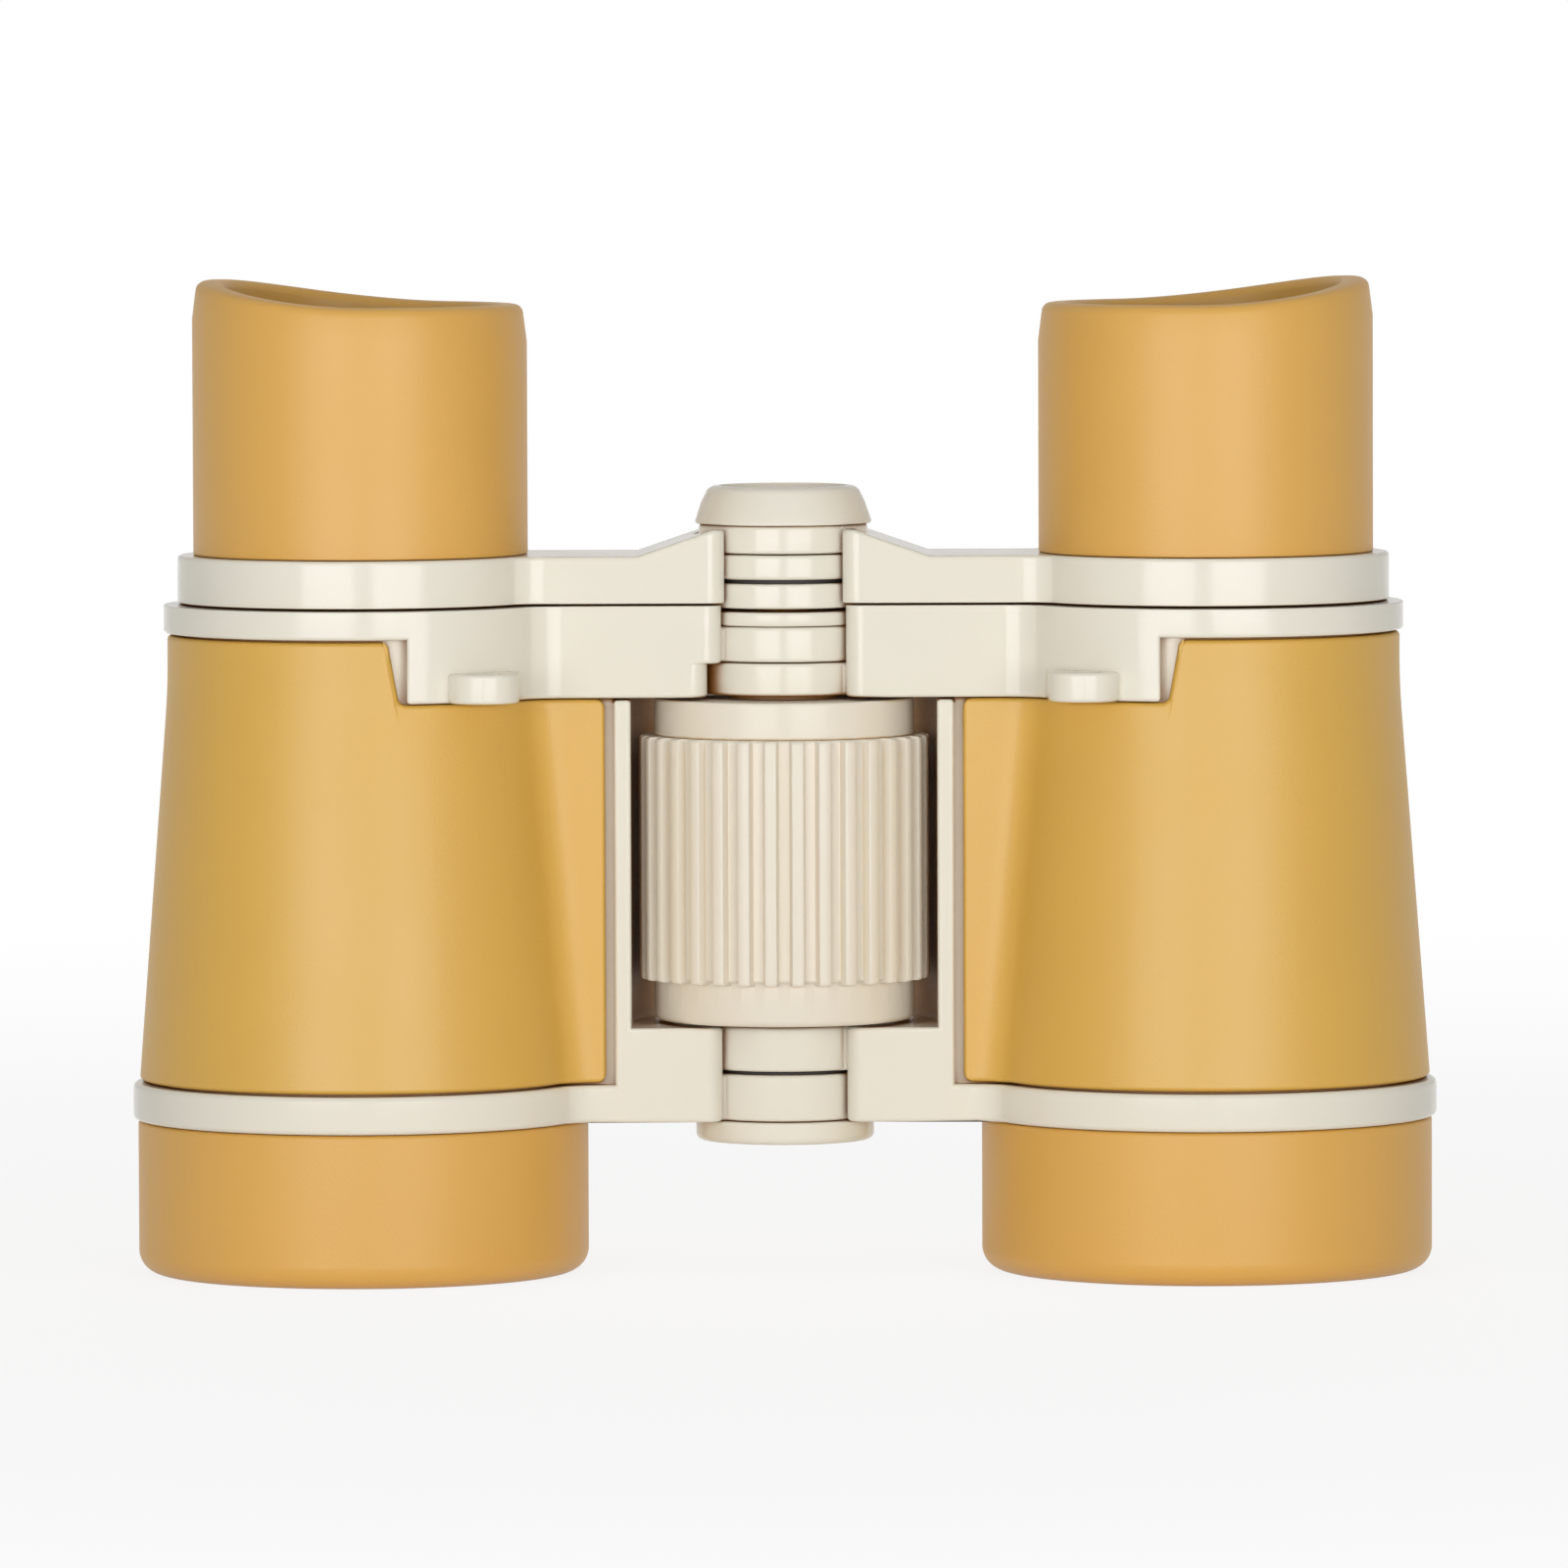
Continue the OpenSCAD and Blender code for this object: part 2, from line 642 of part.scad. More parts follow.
module eyepiece_arm(knuckle_z, knuckle_h, knuckle_bore_r) {
    ramp = [
        [hinge_x - ramp_foot_x, arm_z], [hinge_x - ramp_foot_x, arm_top],
        [hinge_x - ramp_top_x, ramp_top_z], [hinge_x, ramp_top_z], [hinge_x, arm_z]
    ];
    color(cream) {
        difference() {
            at_left_barrel() {
                translate([0, 0, arm_z]) cylinder(r = arm_r, h = arm_h);
                translate([0, 0, arm_z]) bracket(arm_r, bracket_half, blend_r, hinge_x, arm_h);
                translate([0, bracket_half, 0]) rotate([90, 0, 0])
                    linear_extrude(2 * bracket_half) polygon(ramp);
            }
            at_left_barrel() translate([0, 0, arm_z - over])
                cylinder(r = tube_r + fit, h = arm_h + 2 * over);
            hinge_cut(arm_end, arm_z, ramp_top_z, knuckle_z, knuckle_h, knuckle_bore_r);
        }
        translate([0, 0, knuckle_z]) tube(knuckle_r, knuckle_bore_r, knuckle_h);
    }
}

tube_bore_r = tube_r - tube_wall;
eye_seat_r_share = 0.92;
eye_seat_h = 1;
eye_shoulder_z = eye_lens_z - seat;

module eyepiece_tube() {
    color(black_plastic) at_left_barrel() rotate_extrude() polygon([
        [tube_bore_r, arm_z - tube_drop], [tube_r, arm_z - tube_drop], [tube_r, eyecup_z],
        [tube_head_r, eyecup_z], [tube_head_r, tube_top], [eye_lens_r + fit, tube_top],
        [eye_lens_r + fit, eye_shoulder_z], [eye_lens_r * eye_seat_r_share, eye_shoulder_z],
        [eye_lens_r * eye_seat_r_share, eye_shoulder_z - eye_seat_h],
        [tube_bore_r, eye_shoulder_z - 2 * eye_seat_h]
    ]);
}

module eyepiece_lens() {
    color(clear_plastic, 0.5) at_left_barrel() translate([0, 0, eye_lens_z])
        lens(eye_lens_r, eye_lens_h, eye_lens_middle, eye_surface_r);
}

module eyepiece_retainer() {
    color(black_plastic) at_left_barrel() translate([0, 0, eye_lens_top])
        tube(eye_lens_r, eye_lens_r * eye_seat_r_share, retainer_h);
}

// Height of the eyecup's rim at angle a: level, with a wing that rises smoothly to its peak
function from_wing(a) = abs((a - 180 + wing_turn + 540) % 360 - 180);
function rim_z(a) =
    eyecup_z + eyecup_h
    + (from_wing(a) < wing_span ? wing_h * (1 + cos(180 * from_wing(a) / wing_span)) / 2 : 0);
eyecup_ledge_z = tube_top + seam;
eyecup_columns = 72;
rim_lean_h = 3 * rim_edge_r;

function eyecup_loop(a) =
    let (z = rim_z(a))
    let (section = concat(
        [[eyecup_r, eyecup_z], [eyecup_r, z - rim_lean_h - rim_edge_r]],
        arc([eyecup_r - rim_lean - rim_edge_r, z - rim_edge_r], rim_edge_r, 0, 90, 4),
        arc([eyecup_opening_r + rim_edge_r, z - rim_edge_r], rim_edge_r, 90, 180, 4),
        [[eyecup_opening_r, eyecup_ledge_z], [tube_head_r + 2 * fit, eyecup_ledge_z],
            [tube_head_r + 2 * fit, eyecup_z]]
    ))
    [for (p = section) [p.x * cos(a), p.x * sin(a), p.y]];

module eyecup() {
    color(tan_rubber) at_left_barrel()
        loft([for (i = [0:eyecup_columns - 1]) eyecup_loop(360 * i / eyecup_columns)], true);
}

bush_bore_r = screw_r + slide;
wheel_bearing_h = 2;

module upper_hinge_bush() {
    color(cream) difference() {
        union() {
            translate([0, 0, wheel_top - wheel_bearing_h])
                cylinder(r = bush_r, h = bush_flange_top - wheel_top + wheel_bearing_h);
            translate([0, 0, upper_left_top + seat]) cylinder(r = knuckle_r, h = bush_flange_h - seat);
        }
        translate([0, 0, wheel_top - wheel_bearing_h - over])
            cylinder(r = bush_bore_r, h = bush_flange_top - wheel_top + wheel_bearing_h + 2 * over);
    }
}

cap_pocket_r_share = 0.66;
cap_pocket_r = cap_r * cap_pocket_r_share;
pin_head_h = 1.1;
pin_top = wheel_z + lower_collar_h;
bottom_cap_top = ring_z - seat;
bottom_cap_z = bottom_cap_top - bottom_cap_h;
cap_edge_r = 0.6;
washer_inset = 0.6;

module lower_hinge_pin() {
    color(steel) {
        translate([0, 0, bottom_cap_top - pin_head_h])
            cylinder(r = pin_r, h = pin_top - bottom_cap_top + pin_head_h);
        translate([0, 0, bottom_cap_top - pin_head_h]) cylinder(r = cap_pocket_r - fit, h = pin_head_h);
    }
}

module hinge_washer() {
    color(black_plastic) translate([0, 0, lower_split])
        tube(knuckle_r - washer_inset, pin_r + fit, hinge_washer_h);
}

module bottom_cap() {
    color(cream) difference() {
        translate([0, 0, bottom_cap_z]) rotate_extrude() polygon(concat(
            [[0, 0]],
            arc([cap_r - cap_edge_r, cap_edge_r], cap_edge_r, -90, 0, 6),
            [[cap_r, bottom_cap_h], [0, bottom_cap_h]]
        ));
        translate([0, 0, bottom_cap_top - pin_head_h - seat])
            cylinder(r = cap_pocket_r, h = pin_head_h + over);
    }
}

hub_wall = 0.75;
hub_r = collar_r - hub_wall;
hub_groove_inner_r = nut_corner_r + barrel_wall;
hub_groove_outer_r = hub_r - barrel_wall / 1.5;

module focus_wheel() {
    color(wheel_cream) difference() {
        union() {
            translate([0, 0, wheel_z + seat]) cylinder(r = hub_r, h = wheel_h - seat);
            translate([0, 0, grip_top]) cylinder(r = collar_r, h = upper_collar_h);
        }
        translate([0, 0, wheel_z - over]) cylinder(r = screw_r + 2 * slide, h = wheel_h + 2 * over);
        translate([0, 0, wheel_top - wheel_bearing_h - seat])
            cylinder(r = bush_r + run, h = wheel_bearing_h + over);
        translate([0, 0, wheel_z - over])
            cylinder(r = nut_corner_r + fit, h = nut_h + over + wheel_play, $fn = 6);
        translate([0, 0, wheel_z - over])
            tube(hub_groove_outer_r, hub_groove_inner_r, grip_h - lower_collar_h + over);
    }
}

module focus_nut() {
    color(black_plastic) translate([0, 0, wheel_z + wheel_play / 2]) difference() {
        cylinder(r = nut_corner_r, h = nut_h, $fn = 6);
        translate([0, 0, -over]) cylinder(r = pin_r + run, h = nut_h + 2 * over);
    }
}

// Height of a rib's section at a share of the rib pitch: flat tops, flat valleys, sloping sides
rib_points = 8;
rib_steepness = 0.9;
function rib_rise(turn) = min(1, max(0, 0.5 + rib_steepness * cos(360 * turn)));

module wheel_grip() {
    steps = rib_count * rib_points;
    // A groove lies in the middle of the front, at -Y
    ribs = [
        for (i = [0:steps - 1])
            let (a = -90 + 360 * i / steps, r = grip_r - rib_depth * (1 - rib_rise(i / rib_points + 1 / 2)))
            r * [cos(a), sin(a)]
    ];
    color(wheel_cream) difference() {
        union() {
            translate([0, 0, grip_z]) linear_extrude(grip_h) polygon(ribs);
            translate([0, 0, wheel_z]) rotate_extrude() polygon(concat(
                [[0, 0]],
                arc([collar_r - cap_edge_r, cap_edge_r], cap_edge_r, -90, 0, 6),
                [[collar_r, lower_collar_h + over], [0, lower_collar_h + over]]
            ));
        }
        translate([0, 0, wheel_z - over]) cylinder(r = hub_r + fit, h = wheel_h + 2 * over);
    }
}

top_screw_r = 1.15;
top_screw_head_r = 2.2;
top_screw_head_h = 1;
top_screw_h = 6;
dish_depth = 0.7;
dish_floor = top_cap_z + top_cap_h - dish_depth;
screw_floor_z = dish_floor - top_screw_head_h;

module focus_screw() {
    shaft_z = pin_top + wheel_play + seat;
    color(cream) difference() {
        union() {
            translate([0, 0, shaft_z]) cylinder(r = screw_r, h = screw_collar_z - shaft_z + seat);
            translate([0, 0, screw_collar_z]) cylinder(r = knuckle_r, h = screw_collar_h);
            translate([0, 0, screw_collar_z]) cylinder(r = spigot_r, h = top_cap_z - seat - screw_collar_z);
        }
        translate([0, 0, screw_floor_z - top_screw_h - seat])
            cylinder(r = top_screw_r + fit, h = top_screw_h + over);
    }
}

module bridge_washer() {
    color(black_plastic) translate([0, 0, screw_collar_z + screw_collar_h])
        tube(knuckle_r - washer_inset, spigot_r + fit, bridge_washer_h - seat);
}

module top_cap() {
    rim_r = cap_r - top_cap_taper;
    dish_r = rim_r - 2 * cap_edge_r;
    color(cream) translate([0, 0, top_cap_z]) difference() {
        rotate_extrude() polygon(concat(
            [[0, 0], [cap_r, 0]],
            arc([rim_r - cap_edge_r, top_cap_h - cap_edge_r], cap_edge_r, 10, 90, 6),
            [[dish_r, top_cap_h]],
            [[dish_r - dish_depth / 2, top_cap_h - dish_depth], [0, top_cap_h - dish_depth]]
        ));
        translate([0, 0, -over]) cylinder(r = top_screw_r + fit, h = top_cap_h + over);
        translate([0, 0, screw_floor_z - top_cap_z - seat])
            cylinder(r = top_screw_head_r + fit, h = top_cap_h);
    }
}

module top_cap_screw() {
    color(steel) {
        translate([0, 0, screw_floor_z - top_screw_h])
            cylinder(r = top_screw_r, h = top_screw_h + top_screw_head_h);
        translate([0, 0, screw_floor_z]) cylinder(r = top_screw_head_r, h = top_screw_head_h);
    }
}

module left_barrel_body() {
    barrel_body(lower_left_z, lower_split - lower_left_z, pin_r + fit);
}

module right_barrel_body() {
    right_side() barrel_body(lower_right_z, bracket_top - lower_right_z, pin_r + run);
}

// The left cover stands back from the knuckle below its own
module left_top_cover() {
    color(cream) difference() {
        top_cover(upper_split + knuckle_play, upper_left_top - upper_split - knuckle_play, bush_r + fit);
        translate([0, 0, block_z - over]) linear_extrude(upper_split - block_z + over)
            polygon(beyond_end(relief_end));
    }
}

module right_top_cover() {
    right_side() top_cover(upper_right_z, upper_split - upper_right_z, bush_r + run);
}

module left_eyepiece_arm() {
    eyepiece_arm(left_arm_knuckle_z, left_arm_knuckle_h, spigot_r + fit);
}

module right_eyepiece_arm() {
    right_side() eyepiece_arm(right_arm_knuckle_z, right_arm_knuckle_h, spigot_r + run);
}

left_barrel_body();
armour();  // left_armour
objective_cup();  // left_objective_cup
objective_lens();  // left_objective_lens
objective_retainer();  // left_objective_retainer
left_top_cover();
cover_screws();  // left_cover_screws
left_eyepiece_arm();
eyepiece_tube();  // left_eyepiece_tube
eyepiece_lens();  // left_eyepiece_lens
eyepiece_retainer();  // left_eyepiece_retainer
eyecup();  // left_eyecup
right_barrel_body();
right_side() armour();  // right_armour
right_side() objective_cup();  // right_objective_cup
right_side() objective_lens();  // right_objective_lens
right_side() objective_retainer();  // right_objective_retainer
right_top_cover();
right_side() cover_screws();  // right_cover_screws
right_eyepiece_arm();
right_side() eyepiece_tube();  // right_eyepiece_tube
right_side() eyepiece_lens();  // right_eyepiece_lens
right_side() eyepiece_retainer();  // right_eyepiece_retainer
right_side() eyecup();  // right_eyecup
upper_hinge_bush();
lower_hinge_pin();
hinge_washer();
bottom_cap();
focus_wheel();
wheel_grip();
focus_nut();
focus_screw();
bridge_washer();
top_cap();
top_cap_screw();
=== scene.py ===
"""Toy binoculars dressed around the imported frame: rounded mouldings, rubber, ribbed wheel and studio."""

import json
import math

import bmesh
import bpy
from bpy.props import FloatProperty, FloatVectorProperty, IntProperty, PointerProperty
from mathutils import Euler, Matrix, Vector

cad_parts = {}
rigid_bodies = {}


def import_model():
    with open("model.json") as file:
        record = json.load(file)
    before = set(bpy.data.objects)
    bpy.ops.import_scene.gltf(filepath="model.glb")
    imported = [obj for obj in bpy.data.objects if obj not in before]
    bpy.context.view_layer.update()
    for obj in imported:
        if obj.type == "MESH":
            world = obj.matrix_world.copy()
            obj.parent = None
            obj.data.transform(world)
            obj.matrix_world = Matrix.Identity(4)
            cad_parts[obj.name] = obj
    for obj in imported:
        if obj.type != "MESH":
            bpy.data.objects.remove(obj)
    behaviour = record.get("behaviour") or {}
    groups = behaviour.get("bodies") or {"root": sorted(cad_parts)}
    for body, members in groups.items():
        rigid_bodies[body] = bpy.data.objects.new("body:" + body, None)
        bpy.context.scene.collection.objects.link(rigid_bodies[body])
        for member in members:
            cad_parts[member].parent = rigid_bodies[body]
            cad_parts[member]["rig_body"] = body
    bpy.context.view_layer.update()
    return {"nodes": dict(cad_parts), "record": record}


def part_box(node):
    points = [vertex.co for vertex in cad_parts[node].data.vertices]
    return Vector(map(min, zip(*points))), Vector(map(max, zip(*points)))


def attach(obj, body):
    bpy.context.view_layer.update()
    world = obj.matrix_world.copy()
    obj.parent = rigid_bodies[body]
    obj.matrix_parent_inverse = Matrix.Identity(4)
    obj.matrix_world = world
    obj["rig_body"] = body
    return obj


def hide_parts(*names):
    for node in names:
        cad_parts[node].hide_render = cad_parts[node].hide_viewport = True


bl_info = {
    "name": "Toy Binoculars",
    "version": (1, 0, 0),
    "blender": (4, 5, 0),
    "location": "3D View > Sidebar > Binoculars",
    "description": "Rounds, covers and lights a pair of folding toy binoculars",
    "category": "Object",
}

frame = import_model()

MM = 0.001
SIDES = ("left", "right")
# Points of a CAD mesh this close are one point, and faces that meet at less than this angle are one face
SAME_POINT = 0.002 * MM
SAME_FACE = math.radians(0.3)


def srgb(red, green, blue):
    """Linear colour of a screen colour given from 0 to 255."""
    def linear(value):
        share = value / 255
        return share / 12.92 if share <= 0.04045 else ((share + 0.055) / 1.055) ** 2.4
    return linear(red), linear(green), linear(blue)


def barrel_x(side):
    """Where a barrel's axis lies, from the middle of its cup."""
    low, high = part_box(side + "_objective_cup")
    return (low.x + high.x) / 2


# Selection and shaping


def select_only(piece):
    bpy.ops.object.select_all(action="DESELECT")
    piece.select_set(True)
    bpy.context.view_layer.objects.active = piece


def edit(piece):
    select_only(piece)
    bpy.ops.object.mode_set(mode="EDIT")


def leave_edit():
    bpy.ops.object.mode_set(mode="OBJECT")


def merged_copy(node, name):
    """A new piece with a CAD node's shape, its triangles merged into whole faces, left in edit mode."""
    piece = bpy.data.objects.new(name, frame["nodes"][node].data.copy())
    bpy.context.scene.collection.objects.link(piece)
    piece.data.materials.clear()
    edit(piece)
    bpy.ops.mesh.select_all(action="SELECT")
    bpy.ops.mesh.customdata_custom_splitnormals_clear()
    bpy.ops.mesh.remove_doubles(threshold=SAME_POINT)
    bpy.ops.mesh.dissolve_limited(angle_limit=SAME_FACE)
    return piece


def soften(piece, width_of, segments=4, sharper_than=30):
    """Rounds the sharp edges of a merged copy: width_of(edge, middle) gives the width at an edge, or 0."""
    mesh = bmesh.from_edit_mesh(piece.data)
    weights = mesh.edges.layers.float.new("bevel_weight_edge")
    widths = {}
    for edge in mesh.edges:
        if len(edge.link_faces) == 2 and edge.calc_face_angle() > math.radians(sharper_than):
            start, end = (vertex.co for vertex in edge.verts)
            widths[edge] = width_of(edge, (start + end) / 2)
    widest = max(widths.values())
    for edge, width in widths.items():
        edge[weights] = width / widest
    bmesh.update_edit_mesh(piece.data)
    leave_edit()
    bpy.ops.object.modifier_add(type="BEVEL")
    bevel = piece.modifiers[-1]
    bevel.limit_method = "WEIGHT"
    bevel.width = widest
    bevel.segments = segments
    bevel.use_clamp_overlap = False
    bevel.miter_outer = "MITER_ARC"
    bpy.ops.object.modifier_apply(modifier=bevel.name)


def cut_slot(piece, middle, across, width, depth, turn=0.0, taper=1.0):
    """Cuts a straight slot into a level face of a finished mesh, at middle and turned about Z.

    depth is positive in an upper face and negative in a lower one, and taper scales the slot's floor.
    """
    bpy.ops.object.select_all(action="DESELECT")
    bpy.ops.mesh.primitive_cube_add(
        size=1, location=middle, rotation=(0, 0, turn), scale=(across, width, 2 * abs(depth))
    )
    cutter = bpy.context.object
    bpy.ops.object.transform_apply(location=True, rotation=True, scale=True)
    edit(cutter)
    bpy.ops.mesh.select_all(action="DESELECT")
    for vertex in bmesh.from_edit_mesh(cutter.data).verts:
        vertex.select = (vertex.co.z - middle.z) * depth < 0
    bpy.ops.transform.resize(value=(taper, taper, 1), center_override=middle)
    leave_edit()
    select_only(piece)
    bpy.ops.object.modifier_add(type="BOOLEAN")
    piece.modifiers[-1].operation = "DIFFERENCE"
    piece.modifiers[-1].object = cutter
    bpy.ops.object.modifier_apply(modifier=piece.modifiers[-1].name)
    bpy.data.objects.remove(cutter)


# Materials


class Wire:
    """An output socket of a finish. Arithmetic on wires adds Math nodes."""

    def __init__(self, finish, socket):
        self.finish = finish
        self.socket = socket

    def math(self, operation, first, second):
        return self.finish.add("ShaderNodeMath", {"operation": operation}, {0: first, 1: second})

    def __add__(self, other):
        return self.math("ADD", self, other)

    def __mul__(self, other):
        return self.math("MULTIPLY", self, other)

    __radd__ = __add__
    __rmul__ = __mul__


class Finish:
    """A node material while it is being made."""

    # Samples of the occlusion mask that places painted shade
    painted_shade_samples = 12

    def __init__(self, name, tree=None):
        if tree is None:
            self.material = bpy.data.materials.new(name)
            self.material.use_nodes = True
            tree = self.material.node_tree
        self.tree = tree
        tree.nodes.clear()

    def add(self, kind, settings=None, inputs=None, output=0):
        """Adds a node: its settings first, then the values or wires of its sockets."""
        node = self.tree.nodes.new(kind)
        for key, value in (settings or {}).items():
            setattr(node, key, value)
        for key, value in (inputs or {}).items():
            if isinstance(value, Wire):
                self.tree.links.new(value.socket, node.inputs[key])
            else:
                node.inputs[key].default_value = value
        return Wire(self, node.outputs[output]) if node.outputs else None

    def place(self):
        return self.add("ShaderNodeTexCoord", output="Object")

    def noise(self, size, detail, place=None):
        """Noise from 0 to 1 whose features are about size metres wide."""
        return self.add(
            "ShaderNodeTexNoise", None,
            {"Vector": place or self.place(), "Scale": 1 / size, "Detail": detail}, "Fac",
        )

    def mix(self, share, first, second):
        """A colour between two colours, each given as three numbers or a wire."""
        first, second = (c if isinstance(c, Wire) else (*c, 1) for c in (first, second))
        return self.add("ShaderNodeMix", {"data_type": "RGBA"}, {0: share, 6: first, 7: second}, 2)

    def ramp(self, value, start, end, first, last):
        """Runs smoothly from first, where value is start or less, to last, where it is end or more."""
        return self.add("ShaderNodeMapRange", {"interpolation_type": "SMOOTHSTEP"}, {
            "Value": value, "From Min": start, "From Max": end, "To Min": first, "To Max": last,
        })

    def painted_shade_mask(self, reach, closed, open_from):
        """1 where the open share of the view within reach metres is closed or less, 0 from open_from up: the
        mask where shade is painted into the colour.
        """
        settings = {"samples": self.painted_shade_samples}
        open_share = self.add("ShaderNodeAmbientOcclusion", settings, {"Distance": reach}, "AO")
        return self.ramp(open_share, closed, open_from, 1.0, 0.0)

    def bump(self, height, depth):
        return self.add("ShaderNodeBump", None, {"Height": height, "Distance": depth, "Strength": 1.0})

    def principled(self, inputs):
        shader = self.add("ShaderNodeBsdfPrincipled", None, inputs)
        self.add("ShaderNodeOutputMaterial", None, {"Surface": shader})
        return self.material


def tinted(colour, factor):
    """A colour made lighter or darker by a factor."""
    return tuple(min(1.0, value * factor) for value in colour)


def blend(share, first, second):
    """Two wires of numbers mixed, with the given share of the second."""
    return first * (1 - share) + second * share


def moulded_plastic(name, colour, gloss, shade, reach, open_from):
    """Injection moulded plastic: a faint mottle, an orange peel skin, uneven gloss, and painted shade with
    duller gloss in the seams and hollows.
    """
    mottle_size, darkest, lightest = 14 * MM, 0.975, 1.02
    peel_size, fine_size, fine_share, peel_depth = 1.1 * MM, 0.22 * MM, 0.3, 0.012 * MM
    patch_size, spread = 5 * MM, 0.1
    closed, dulling = 0.05, 0.6
    finish = Finish(name)
    # The seam mask marks occluded seams and hollows, where the colour is mixed towards painted shade and the
    # roughness rises
    seam = finish.painted_shade_mask(reach, closed, open_from)
    mottle = finish.noise(mottle_size, detail=3)
    peel = blend(fine_share, finish.noise(peel_size, detail=2), finish.noise(fine_size, detail=1))
    skin = finish.mix(mottle, tinted(colour, darkest), tinted(colour, lightest))
    patches = finish.noise(patch_size, detail=4)
    return finish.principled({
        "Base Color": finish.mix(seam, skin, shade),
        "Roughness": patches * spread + seam * dulling + (gloss - spread / 2),
        "Specular IOR Level": 0.27,
        "Normal": finish.bump(peel, peel_depth),
    })


def cream_plastic():
    plastic = bpy.context.scene.binoculars.plastic
    # The cream takes painted shade in its seams and hollows
    return moulded_plastic(
        "cream_plastic", plastic.cream, plastic.gloss, plastic.shade, plastic.seam_shade_reach, plastic.seam_shade_open
    )


def wheel_plastic():
    plastic = bpy.context.scene.binoculars.plastic
    # The wheel's grooves take painted shade where they are occluded
    return moulded_plastic(
        "wheel_plastic", plastic.wheel, plastic.wheel_gloss, plastic.tan, plastic.groove_shade_reach,
        plastic.groove_shade_open,
    )


def soft_rubber(name, colour, shine):
    """Soft rubber: a fine grain, patches where the skin is a little smoother, and a broad highlight."""
    rubber = bpy.context.scene.binoculars.rubber
    patch_size, spread, darkest, lightest = 11 * MM, 0.12, 0.955, 1.04
    fine_size, fine_share = rubber.grain_size * 0.4, 0.25
    grain_share = 0.3
    finish = Finish(name)
    patches = finish.noise(patch_size, detail=4)
    coarse = finish.noise(rubber.grain_size, detail=3)
    grain = blend(fine_share, coarse, finish.noise(fine_size, detail=2))
    uneven = blend(grain_share, patches, grain)
    return finish.principled({
        "Base Color": finish.mix(uneven, tinted(colour, darkest), tinted(colour, lightest)),
        "Roughness": patches * spread + (rubber.roughness - spread / 2),
        "Specular IOR Level": shine,
        "Normal": finish.bump(grain, rubber.grain_depth),
    })


def armour_rubber():
    rubber = bpy.context.scene.binoculars.rubber
    return soft_rubber("armour_rubber", rubber.armour, rubber.armour_shine)


def cup_rubber():
    rubber = bpy.context.scene.binoculars.rubber
    return soft_rubber("cup_rubber", rubber.cups, rubber.cup_shine)


def black_plastic():
    """Black plastic with a fine, dull grain."""
    dark, light = srgb(31, 26, 22), srgb(41, 36, 31)
    grain_size, grain_depth = 0.35 * MM, 0.02 * MM
    smoothest, spread = 0.55, 0.1
    finish = Finish("black_plastic")
    grain = finish.noise(grain_size, detail=3)
    return finish.principled({
        "Base Color": finish.mix(grain, dark, light),
        "Roughness": grain * spread + smoothest,
        "Normal": finish.bump(grain, grain_depth),
    })


def plated_steel():
    """Zinc plated steel with faint lathe marks round the vertical axis."""
    dark, light = srgb(176, 178, 180), srgb(205, 206, 204)
    mark_length, mark_depth, squeeze = 1.6 * MM, 0.01 * MM, (1.0, 1.0, 14.0)
    smoothest, spread = 0.2, 0.22
    finish = Finish("plated_steel")
    squeezed = finish.add("ShaderNodeMapping", None, {"Vector": finish.place(), "Scale": squeeze})
    marks = finish.noise(mark_length, detail=4, place=squeezed)
    return finish.principled({
        "Base Color": finish.mix(marks, dark, light),
        "Metallic": 1.0,
        "Roughness": marks * spread + smoothest,
        "Normal": finish.bump(marks, mark_depth),
    })


def lens_plastic():
    """Clear polished plastic with a faint coating colour."""
    optics = bpy.context.scene.binoculars.optics
    haze_size, darkest = 9 * MM, 0.97
    smoothest, spread = 0.01, 0.02
    finish = Finish("lens_plastic")
    haze = finish.noise(haze_size, detail=2)
    return finish.principled({
        "Base Color": finish.mix(haze, tinted(optics.tint, darkest), optics.tint),
        "Roughness": haze * spread + smoothest,
        "IOR": optics.refraction,
        "Transmission Weight": 1.0,
        "Specular Tint": (*optics.tint, 1),
    })


def slot_material(node):
    """Name of the record's material slot that a CAD node has."""
    for subpart in frame["record"]["subparts"]:
        if subpart["node"] == node:
            return subpart["material_slot"]
    raise ValueError(f"the record has no subpart {node}")


MATERIAL_MAKERS = {
    "cream_plastic": cream_plastic,
    "wheel_plastic": wheel_plastic,
    "armour_rubber": armour_rubber,
    "cup_rubber": cup_rubber,
    "black_plastic": black_plastic,
    "steel": plated_steel,
    "lens_plastic": lens_plastic,
}
# The materials made so far, by slot
MADE = {}


def finish_of(slot):
    """The material for one of the record's slots, made once."""
    if slot not in MADE:
        MADE[slot] = MATERIAL_MAKERS[slot]()
    return MADE[slot]


def dress(piece, node, smooth=38):
    """Finishes a piece that stands for a CAD node: smooth shading, and the node's finish, body and slot."""
    slot = slot_material(node)
    select_only(piece)
    bpy.ops.object.shade_smooth_by_angle(angle=math.radians(smooth))
    bpy.ops.object.modifier_add(type="WEIGHTED_NORMAL")
    piece.modifiers[-1].keep_sharp = True
    bpy.ops.object.modifier_apply(modifier=piece.modifiers[-1].name)
    piece.data.materials.clear()
    piece.data.materials.append(finish_of(slot))
    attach(piece, frame["nodes"][node]["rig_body"])
    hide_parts(node)


# Settings


def length_setting(name, description, millimetres, top=200):
    return FloatProperty(
        name=name, description=description, default=millimetres * MM, min=0, max=top * MM,
        subtype="DISTANCE", unit="LENGTH", precision=5,
    )


def share_setting(name, description, value):
    return FloatProperty(
        name=name, description=description, default=value, min=0, max=1, subtype="FACTOR"
    )


def colour_setting(name, description, *screen):
    return FloatVectorProperty(
        name=name, description=description, default=srgb(*screen), min=0, max=1, size=3, subtype="COLOR"
    )


